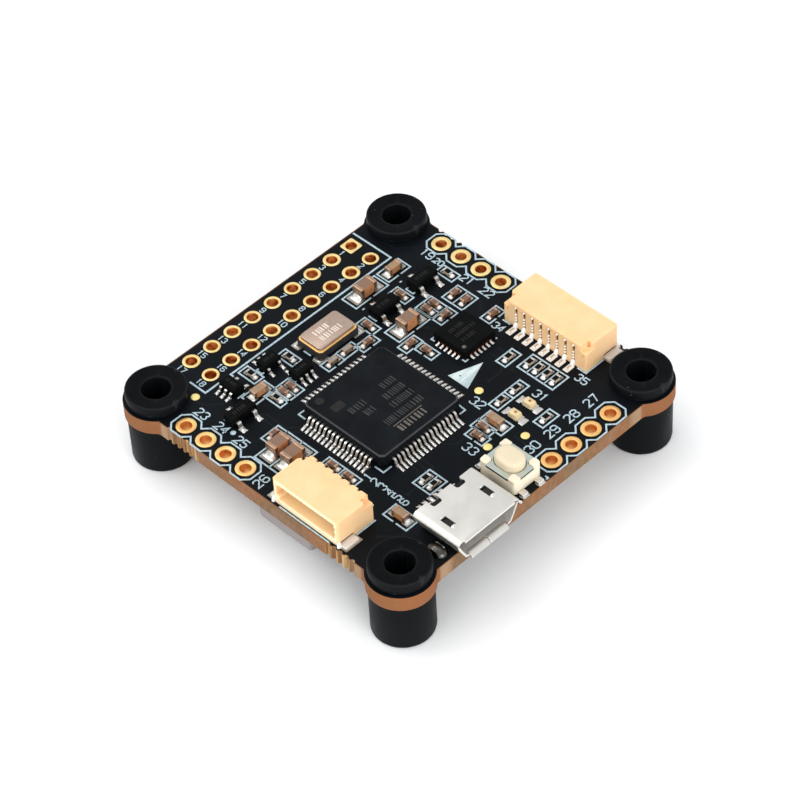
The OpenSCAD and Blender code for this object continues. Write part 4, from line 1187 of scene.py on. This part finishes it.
# ---------------------------------------------------------------- wire connectors
def connector_housing(name, ways, at, toothed):
    """The moulding. toothed runs the pin slots out through the roof."""
    w, deep, tall = ways + 2.0, 4.25, 2.9
    over = tall + 0.2
    base = Solids("nylon", "painted_shade_mouth_nylon", "painted_light_face_nylon")
    base.prism(rounded(span(-w / 2, w / 2, 0, deep), [0.1, 0.1, 0.22, 0.22]), 0.0, tall, at)
    # The face round the mouth is painted paler than the rest: painted light on the lit front
    back = at.inverted()
    for k, face in enumerate(base.faces):
        if all(abs((back @ (base.points[i] / MM)).y - deep) < 0.01 for i in face):
            base.slots[k] = 2

    # The mouth's inner faces take the nylon tinted as painted shade
    mouth = Solids("nylon", "painted_shade_mouth_nylon")
    x0, x1 = -w / 2 + 0.5, w / 2 - 0.78
    outline = [(x0, 0.72), (x1, 0.72), (x1, tall - 0.42), (x0, tall - 0.42)]
    for z in (2.1, 1.45):
        outline += [(x0, z), (x0 - 0.14, z), (x0 - 0.14, z - 0.35), (x0, z - 0.35)]
    mouth.loft([[(x, y, z) for x, z in outline] for y in (deep + 1, 1.1)], at, 1)
    key, slots, steps, pits, chamfer, feet = (Solids("nylon") for _ in range(6))
    key.prism(span(x1 - 0.1, x1 + 0.34, 2.4, deep + 1), 1.2, tall - 0.55, at)
    for i in range(ways):
        x = i - (ways - 1) / 2
        slot = rounded(span(x - 0.17, x + 0.17, -0.3, 0.34), [0, 0, 0.1, 0.1], 3)
        slots.prism(slot, -0.2, over if toothed else tall - 0.42, at)
        if toothed:
            flare = [(x - 0.3, -0.3), (x + 0.3, -0.3), (x + 0.22, 0.2), (x - 0.22, 0.2)]
            slots.prism(rounded(flare, [0, 0, 0.08, 0.08], 3), tall - 0.7, over, at)
    # The roof steps in at both rear corners, and each step has a small sprue pit
    for s in (-1, 1):
        e = w / 2
        corner = [(e + 1, -1), (e + 1, 1.15), (e - 0.02, 1.15), (e - 0.62, 0.4), (e - 0.62, -1)]
        steps.prism([(s * x, y) for x, y in corner][::s], tall - 0.75, over, at)
        pit = s * (e - 0.42)
        pits.prism(circle(0.19, 14, pit, 0.82), tall - 0.6, over, at)
        pits.prism(rounded(span(pit - 0.13, pit + 0.13, -0.2, 0.12), 0.05, 2), 1.5, 1.86, at)
        inner, outer = sorted((s * (e - 0.3), s * w))
        feet.prism(span(inner, outer, 2.4, deep - 0.25), -0.2, 0.5, at)
    chamfer.layers(lambda y: span(-w, w, -1, y), [(0.001, tall - 0.16), (0.3, over)], at)
    tools = [mouth, key, slots, steps, pits, chamfer, feet]
    if not toothed:
        ledge = Solids("nylon")
        ledge.prism(span(-w, w, -1, 0.1), tall - 0.36, tall - 0.2, at)
        tools.append(ledge)
    mesh = carve(base, tools, name + "_housing")
    dress(mesh, name + "_moulded_housing", "cream_nylon", [name + "_connector_housing"],
          bevel=0.09, segments=3, angle=30)


def connector_metal(name, ways, at):
    """Pins bent down the rear face to their lands, and a solder tab at each side."""
    w, deep = ways + 2.0, 4.25
    pins = Solids("tin", "shaded_metal", "painted_highlight_solder", "slot_shade")
    strip = [(3.2, 1.42), (3.35, 1.55), (3.2, 1.68), (0.3, 1.68), (0.22, 1.6), (0.18, 0.3), (0.1, 0.2),
             (-0.1, 0.17), (-0.9, 0.16), (-0.98, 0.1), (-0.96, 0.0), (0.1, 0.0), (0.24, 0.06), (0.3, 0.18),
             (0.3, 1.42)]
    heel = [(0.34, 0.36, -0.16, 0.02), (0.28, 0.34, -0.12, 0.3), (0.2, 0.3, -0.06, 0.54),
            (0.1, 0.16, -0.02, 0.64)]
    for i in range(ways):
        side = at @ shifted(i - (ways - 1) / 2, 0, 0, 90)
        pins.side(strip[::-1], 0.2, side)
        # White beads down each pin: painted glints
        for z in (2.43, 1.62, 1.26, 0.92):
            bead = [(0.04, z - 0.08), (0.11, z - 0.03), (0.11, z + 0.03), (0.04, z + 0.08)]
            pins.layers(lambda r: circle(r, 10, -0.01), bead, side, 2)
        # A white heel at the foot of each pin: a painted highlight
        pins.layers(lambda a, b, c: [(x + c, y) for x, y in rectangle(a, b)], heel, side, 2)
        # A tan block behind the beads: painted shade in the slot
        pins.block((0.08, 0.3, 1.3), side @ shifted(0.14, 0, 0.44), 3)
        # A dark block at the top of the slot: painted shade
        pins.block((0.16, 0.31, 0.7), side @ shifted(0.22, 0, 1.74), 1)
        # The toe's land in pale tin: painted light
        painted_light_lands.prism(soft_box(0.06, 2)(1.0, 0.6), 0, 0.04, side @ shifted(-0.68, 0))
        # A white blob on the toe: a painted highlight
        dome(painted_glints, side @ shifted(-0.56, 0.02), 0.6, 0.32, 0.15)
    pins.make(name + "_connector_pins", "tin_plating", [name + "_connector_contacts"], bevel=0.03)
    # The solder tabs in pale tin: painted light
    tabs = Solids("painted_light_tin")
    levels = [(0.9, 1.7, 0), (0.9, 1.7, 0.12), (0.8, 1.6, 0.2)]
    for s in (-1, 1):
        spot = at @ shifted(s * (w / 2 + 0.28), deep - 1.0)
        tabs.layers(lambda a, b: cut_rectangle(a, b, 0.1), levels, spot)
        land(spot @ shifted(s * 0.06, 0), (1.1, 2.0))
        # A tall white blob at the housing's corner: a painted highlight
        dome(painted_glints, at @ shifted(s * (w / 2 + 0.02), deep - 0.03, 0, 80), 0.46, 0.34, 0.62)
    tabs.make(name + "_connector_solder_tabs", "tin_plating", [name + "_connector_tabs"], bevel=0.05)


# Each socket's local +Y points out of its mouth, and y = 0 is its rear face
for name, ways, turn in (("motor", 8, 0), ("peripheral", 6, 180)):
    low, high = box_mm(name + "_connector_housing")
    at = on_top((low.x + high.x) / 2, high.y if turn else low.y, turn)
    connector_housing(name, ways, at, toothed=turn == 180)
    connector_metal(name, ways, at)


# ---------------------------------------------------------------- USB socket
low, high = box_mm("usb_shell")
at = on_top(high.x - 5.8, (low.y + high.y) / 2)
MOUTH = 5.3
SHELL_W, SHELL_H = 7.5, 2.5


def usb_outline(inset):
    """The shell's section in Y and Z, narrower below, drawn in by the inset."""
    foot, w, h, corner = 2.75 - inset * 0.55, SHELL_W / 2 - inset, SHELL_H - inset, 0.5 - inset * 0.8
    corners = [(-foot, inset), (foot, inset), (w, 1.92), (w, h), (-w, h), (-w, 1.92)]
    return rounded(corners, [0.5, 0.5, 0.25, corner, corner, 0.25], 5)


def usb_tube():
    """The folded tube, bright outside and duller inside, where a pale, half-metallic lining stands as painted
    light, with its windows and notches cut.
    """
    tube = Solids("steel", "painted_light_lining_steel")
    outer, inner = usb_outline(0.0), usb_outline(0.22)
    n = len(outer)
    points = [(x, y, z) for section in (outer, inner) for x in (0, MOUTH) for y, z in section]
    skin, lining = [], []
    for i in range(n):
        j = (i + 1) % n
        skin += [[i, n + i, n + j, j], [i, j, 2 * n + j, 2 * n + i], [n + i, 3 * n + i, 3 * n + j, n + j]]
        lining.append([2 * n + i, 2 * n + j, 3 * n + j, 3 * n + i])
    tube.add(points, skin, at)
    tube.add(points, lining, at, 1)
    holes, front = Solids("steel"), Solids("steel")
    for s in (-1, 1):
        holes.prism(rounded(span(2.25, 3.55, s * 2.4 - 0.32, s * 2.4 + 0.32), 0.08, 3), 1.9, 3, at)
        notch = span(-0.5, 0.85, s * 1.45 - 0.55, s * 1.45 + 0.55)
        holes.prism(rounded(notch, [0, 0.25, 0.25, 0]), 1.9, 3, at)
    front.prism(span(4.86, 6, -2.33, 2.33), -0.5, 0.3, at)
    mesh = carve(tube, [holes, front], "usb_tube")
    dress(mesh, "usb_folded_shell", "shell_steel", ["usb_shell"], bevel=0.05, angle=30)


def flap(solids, ends, out, length, t=0.2, bend=48.0, start=MOUTH - 0.06, steps=6):
    """A lip between two (y, z) points at the shell's mouth that curls in the (y, z) direction out."""
    o = Vector((0, out[0], out[1]))
    radius = length / math.radians(bend)
    rings = []
    for k in range(steps + 1):
        a = math.radians(bend) * k / steps
        centre = Vector((start + radius * math.sin(a), 0, 0)) + o * (radius * (1 - math.cos(a)))
        inwards = (Vector((-math.sin(a), 0, 0)) + o * math.cos(a)) * -t
        near, far = (Vector((0, y, z)) + centre for y, z in ends)
        rings.append([tuple(p) for p in (near, far, far + inwards, near + inwards)])
    solids.loft(rings, at)


usb_tube()
trim, dark_leg_domes = Solids("steel"), Solids("dark_leg_solder")
shine, springs = Solids("bright_steel"), Solids("painted_shade_steel")
flap(trim, ((-2.3, 0.04), (-0.03, 0.04)), (0, -1), 0.7, bend=54, start=4.84)
flap(trim, ((0.03, 0.04), (2.3, 0.04)), (0, -1), 0.7, bend=54, start=4.84)
flap(trim, ((3.05, 2.5), (-3.05, 2.5)), (0, 1), 0.3, t=0.24, bend=8)
flap(trim, ((3.75, 1.86), (3.75, 2.1)), (1, 0), 0.4, bend=34)
flap(trim, ((-3.75, 2.1), (-3.75, 1.86)), (-1, 0), 0.3, bend=20)
for s in (-1, 1):
    # Latch springs seen through the windows, in near-black steel as painted shade, and the bumps at the
    # windows' ends
    spring = [(3.9, 2.28), (2.0, 2.2), (1.9, 1.95), (2.0, 1.9), (2.1, 2.1), (3.9, 2.16)]
    springs.side(spring, 0.76, at @ shifted(0, s * 2.4))
    dome(shine, at @ shifted(3.58, s * 2.4, 2.48, 90), 0.58, 0.34, 0.1)
    dome(shine, at @ shifted(2.2, s * 2.4, 2.49, 90), 0.36, 0.14, 0.04)
    # A leg through the board, soldered on both faces
    trim.side([(-0.06, 0.3), (0.06, 0.3), (0.06, 1.0), (-0.06, 1.0)], 0.1, at @ shifted(3.05, s * 4.25))
    leg = [(-0.5, 0.5), (-0.5, -1.75), (-0.35, -2.0), (0.35, -2.0), (0.5, -1.75), (0.5, 0.5)]
    trim.side(leg, 0.24, at @ shifted(2.9, s * 3.5))
    # Solder on the leg, darker than the other solder
    dome(dark_leg_domes, at @ shifted(2.9, s * 3.85), 2.1, 1.5, 0.6)
    dome(solder, underneath(high.x - 2.9, (low.y + high.y) / 2 + s * 3.5), 1.8, 1.0, 0.35)
    # The roof's rear end, curled down into its notch
    curl = [(0.0, 2.5), (0.0, 2.28), (-0.18, 2.1), (-0.2, 1.7), (-0.36, 1.7), (-0.36, 2.18), (-0.14, 2.44)]
    trim.side(curl[::-1], 0.3, at @ shifted(0.3, s * 1.45 - 0.42))
trim.make("usb_shell_lips_and_legs", "shell_steel", bevel=0.05, segments=3)
shine.make("usb_window_bumps", "shell_steel", smooth=70)
springs.make("usb_latch_springs", "shell_steel")
dark_leg_domes.make("usb_leg_solder", "tin_plating", smooth=70)

core = Solids("painted_light_tongue_nylon", "black_nylon")
core.prism(rectangle(1.5, 4.6), 0.3, 2.15, at @ shifted(0.92, 0), 1)
# The tongue in grey, lighter than the black block behind it: painted light
core.prism(rounded(rectangle(2.6, 3.6), [0, 0.2, 0.2, 0], 3), 1.35, 1.8, at @ shifted(2.85, 0))
core.make("usb_insulator_block", "black_nylon", ["usb_insulator"], bevel=0.05)
pins = Solids("contact", "tin")
for i in range(-2, 3):
    pins.block((2.2, 0.28, 0.06), at @ shifted(2.7, i * 0.65, 1.3))
    lead_row(pins, at @ shifted(0.15, i * 0.65, 0, 180), 1, 1, 0, (1.9, 0.7, 0.9, 0.14, 0.3), 0.3, slot=1)
pins.make("usb_contact_strips", "contact_gold", ["usb_contacts"])


# ---------------------------------------------------------------- push button
c = centre_mm("button_base")
at = on_top(c.x, c.y)


def cut_oval(solids, length, width, name):
    """The plate with the plunger's oval hole."""
    oval = Solids(*solids.materials)
    oval.prism(long_round(length, width), 1.2, 2, at)
    return carve(solids, [oval], name)


base, hollow = Solids("button"), Solids("button")
levels = [(4.14, 3.34, 0.02), (4.22, 3.42, 0.1), (4.22, 3.42, 1.24), (4.16, 3.36, 1.34), (4.04, 3.26, 1.36)]
base.layers(soft_box(0.34, 5), levels, at)
hollow.prism(rectangle(3.4, 2.7), 0.4, 3, at)
mesh = carve(base, [hollow], "button_tub")
dress(mesh, "button_moulded_base", "button_plastic", ["button_base"], bevel=0.03)
posts = Solids("button")
for sx, sy in CORNERS:
    corner = [(2.12, 0.86), (2.12, 1.72), (1.28, 1.72), (1.22, 1.04), (1.4, 0.86)]
    corner = [(sx * x, sy * y) for x, y in corner][::sx * sy]
    posts.prism(rounded(corner, [0.14, 0.34, 0.14, 0.2, 0.1]), 1.2, 1.76, at)
posts.make("button_corner_posts", "button_plastic", bevel=0.1, segments=4)

plate = Solids("cover")
arms = [(2.02, 0.84), (1.38, 0.84), (1.2, 1.02), (1.26, 1.72)]
arms += [(-x, y) for x, y in arms[::-1]]
arms += [(-x, -y) for x, y in arms]
plate.prism(arms, 1.52, 1.62, at)
mesh = cut_oval(plate, 3.1, 2.4, "button_plate")
dress(mesh, "button_steel_cover", "cover_steel", ["button_cover"], bevel=0.03)
# A black sheet in the gap under the cover's rim: painted shade that draws the dark line there
shade_sheet = Solids("black_nylon")
shade_sheet.prism(rectangle(2.5, 3.4), 1.34, 1.53, at)
shade_sheet.prism(rectangle(4.0, 1.64), 1.34, 1.53, at)
dress(cut_oval(shade_sheet, 3.4, 2.7, "button_shade_sheet"), "button_painted_shade_sheet", "black_nylon")

press = Solids("cap")
press.layers(long_round, [(3.2, 2.5, 0.90), (3.2, 2.5, 1.38)], at)
levels = [(2.94, 2.24, 1.36), (2.94, 2.24, 2.1), (2.9, 2.2, 2.24), (2.78, 2.08, 2.36), (2.56, 1.86, 2.45),
          (2.2, 1.5, 2.49), (1.5, 0.8, 2.5)]
press.layers(long_round, levels, at)
press.make("button_cap", "plunger_plastic", ["button_plunger"], body=PLUNGER)

snap = Solids("dome")
rise, rim, thick, seat, axis_gap = 0.45, 1.2, 0.08, 0.4, 0.02
profile = [(rim * k / 8, seat + rise * (1 - (k / 8) ** 2)) for k in range(9)]
under = [(r, max(seat, z - thick)) for r, z in profile[::-1]]
profile[0] = (axis_gap, profile[0][1])
under[-1] = (axis_gap, under[-1][1])
snap.lathe(profile[::-1] + under[::-1], 48, at)
snap = snap.make("button_snap_dome", "dome_metal", ["button_dome"], smooth=60)
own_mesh(snap)

lugs = Solids("tin")
for sx, sy in CORNERS:
    land(at @ shifted(sx * 2.65, sy), (0.6, 0.86))
    levels = [(0.72, 0.7, 0.02), (0.72, 0.7, 0.2), (0.6, 0.7, 0.3)]
    lugs.layers(rectangle, levels, at @ shifted(sx * 2.42, sy))
    end_fillet(at @ shifted(sx * 2.7, sy, 0, 0 if sx > 0 else 180), 0.26, 0.74, 0.2)
lugs.make("button_lugs", "tin_plating", ["button_terminals"], bevel=0.04)


# ---------------------------------------------------------------- printed boxes and lines
def box_groups(kind):
    """(turn, place along the parts, places across them) of each box: neighbours side by side share one."""
    def order(part):
        x, y, turn = part
        return (turn, round(x, 1), y) if turn == 0 else (turn, round(y, 1), x)
    groups = []
    for x, y, turn in sorted(two_ended(kind), key=order):
        across, along = (y, x) if turn == 0 else (x, y)
        last = groups[-1] if groups else None
        if last and last[0] == turn and abs(last[1] - along) < 0.25 and across - last[2][-1] < 1.5:
            last[2].append(across)
        else:
            groups.append((turn, along, [across]))
    return groups


def shared_box(group, groups, opening):
    """One box with a line between its parts. Where the next box along is close, they meet halfway."""
    turn, along, found = group
    reach = 1.05
    centre, wide = (found[0] + found[-1]) / 2, found[-1] - found[0] + 1.15
    near, far = along - reach, along + reach
    for other_turn, other, others in groups:
        in_line = other_turn == turn and abs((others[0] + others[-1]) / 2 - centre) < 0.5
        if in_line and 0 < abs(other - along) < 2.09:
            near, far = (near, (along + other) / 2) if other > along else ((along + other) / 2, far)

    def line(points, width=LINE):
        ribbon(ink, points if turn == 0 else [(y, x) for x, y in points], width)
    if near > along - reach:
        # The neighbour's box already closes this end
        a, b = centre - wide / 2, centre + wide / 2
        line([(near + LINE / 2, a), (far, a), (far, b), (near + LINE / 2, b)])
    else:
        gap = ("S" if turn == 0 else "E") if opening and len(found) == 1 else None
        place, size = ((near + far) / 2, centre), (far - near, wide)
        if turn:
            place, size = place[::-1], size[::-1]
        ink_box(*place, *size, gap)
    for a, b in zip(found, found[1:]):
        m = (a + b) / 2
        line([(along - reach, m), (along + reach, m)], THIN_LINE)


for x, y, turn in two_ended("large_capacitor")[:2]:
    ink_box(x, y, 1.85, 4.15, "E")
for x, y, turn in two_ended("medium_capacitor"):
    if turn == 0:
        ink_box(x, y, 2.8, 1.6, "S")
    else:
        ink_box(x, y, 1.6, 2.8, "E")
for kind, opening in (("small_capacitor", True), ("resistor", False)):
    groups = box_groups(kind)
    for group in groups:
        shared_box(group, groups, opening)
ribbon(ink, span(-3.45, 0.25, -14.5, -10.4), closed=True)
ribbon(ink, [(-1.6, -10.4), (-1.6, -14.5)])

# The header's border, which passes under the rear left grommet
ribbon(ink, [(-17.3, 11.5), (-12.35, 11.5), (-12.35, -8.95), (-11.95, -8.95)], 0.19)
ribbon(ink, [(-12.35, -10.35), (-12.35, -12.05), (-14.4, -12.05)], 0.19)
# Corner marks and small lines
for line in (
    [(-4.25, -7.6), (-4.25, -8.3), (-3.4, -8.3)], [(5.2, -8.2), (6.25, -8.2), (6.25, -7.2)],
    [(5.2, 2.1), (6.3, 2.0), (6.3, 1.3)], [(-4.1, 1.3), (-4.1, 2.0), (-3.4, 2.0)],
    [(2.1, 10.45), (2.25, 10.3)], [(1.75, 6.35), (2.15, 6.35), (2.15, 6.75)],
    [(-2.1, 6.75), (-2.1, 6.35), (-1.7, 6.35)],
    [(-8.35, 9.75), (-8.35, 9.45), (-7.45, 9.45), (-7.45, 9.75)],
    [(-8.35, 4.95), (-8.35, 4.65), (-7.45, 4.65), (-7.45, 4.95)],
    [(-11.0, -6.75), (-11.0, -7.0), (-10.3, -7.0), (-10.3, -6.75)],
    [(-8.05, -5.5), (-8.05, -5.75), (-7.35, -5.75), (-7.35, -5.5)],
    [(-9.7, -9.7), (-9.7, -10.6)], [(-8.7, -13.15), (-8.2, -13.15)], [(-9.6, -2.45), (-8.7, -2.45)],
    [(-9.4, 9.95), (-9.4, 9.7)], [(-9.4, 5.1), (-9.4, 4.85)],
    [(11.15, 15.0), (11.15, 12.5), (10.1, 12.5)], [(0.95, 12.5), (1.9, 12.5)],
    [(2.4, -17.1), (8.5, -17.1)], [(9.65, -12.6), (9.65, -15.1)], [(1.45, -14.9), (1.45, -12.6)],
    [(16.9, 0.95), (17.25, 0.95), (17.25, 0.7)],
):
    ribbon(ink, line)
ink.prism(circle(0.26, 24, -6.93, -13.75), 0, INK_H, ON)


# ---------------------------------------------------------------- plain numbers beside the pads
# How far each row's numbers stand from their pads, and their turn, height and line width
LABELS = {"header": (0.05, -1.28, 0, 0.58, 0.1), "front": (0, -1.85, 0, 0.85, 0.13),
          "rear": (0, 1.95, 0, 0.85, 0.13), "right": (-2.3, 0, 90, 0.9, 0.13)}
counter = 0
for key, (dx, dy, turn, height, width) in LABELS.items():
    for p in sorted(ROWS[key], key=lambda p: (-round(p.y, 1), p.x)):
        counter += 1
        # Two of them stand aside, where there is room
        if counter == 20:
            number(ink, counter, p.x - 1.0, p.y + dy - 0.06, 0.64, turn)
        elif counter == 26:
            number(ink, counter, -0.9, -16.1, 0.9, 90)
        else:
            number(ink, counter, p.x + dx, p.y + dy, height, turn, width)
OTHER_LABELS = ((10.0, 7.75, 0.85), (6.5, 3.4, 0.9), (9.9, -1.1, 0.9), (1.3, 11.55, 0.75), (11.4, 11.7, 0.8))
for x, y, height in OTHER_LABELS:
    counter += 1
    number(ink, counter, x, y, height)
for k in range(6):
    number(ink, k + 1, 5.6 + 0.88 * k, -9.45, 0.8, 90)
ink.make("printed_marks", None)

arrow, speck = Solids("arrow"), Solids("trace")
arrow.prism([(2.2, 4.05), (4.65, 4.05), (3.4, 7.35)], 0, INK_H, ON)
arrow.make("printed_arrow", None)
speck.prism(circle(0.08, 12, 3.05, 4.75), INK_H - 0.01, INK_H + 0.004, ON)
speck.make("arrow_speck", None)

marks.make("chip_markings", None)
solder.make("solder_joints", "tin_plating", smooth=70)
# The white blobs are painted highlights, and the pale lands are painted light
painted_glints.make("painted_highlight_fillets", "tin_plating", smooth=70)
painted_light_lands.make("contact_lands", "tin_plating")
lands.make("tinned_lands", "tin_plating")

# The laminate keeps its CAD shape
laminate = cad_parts["circuit_board"]
laminate.data.materials.clear()
laminate.data.materials.append(MATERIALS["board"])
weld = laminate.modifiers.new("weld", "WELD")
weld.merge_threshold = 1e-7
flat = laminate.modifiers.new("flat_faces", "DECIMATE")
flat.decimate_type, flat.angle_limit = "DISSOLVE", math.radians(0.5)
round_edges(laminate, 0.05, 2, 50)
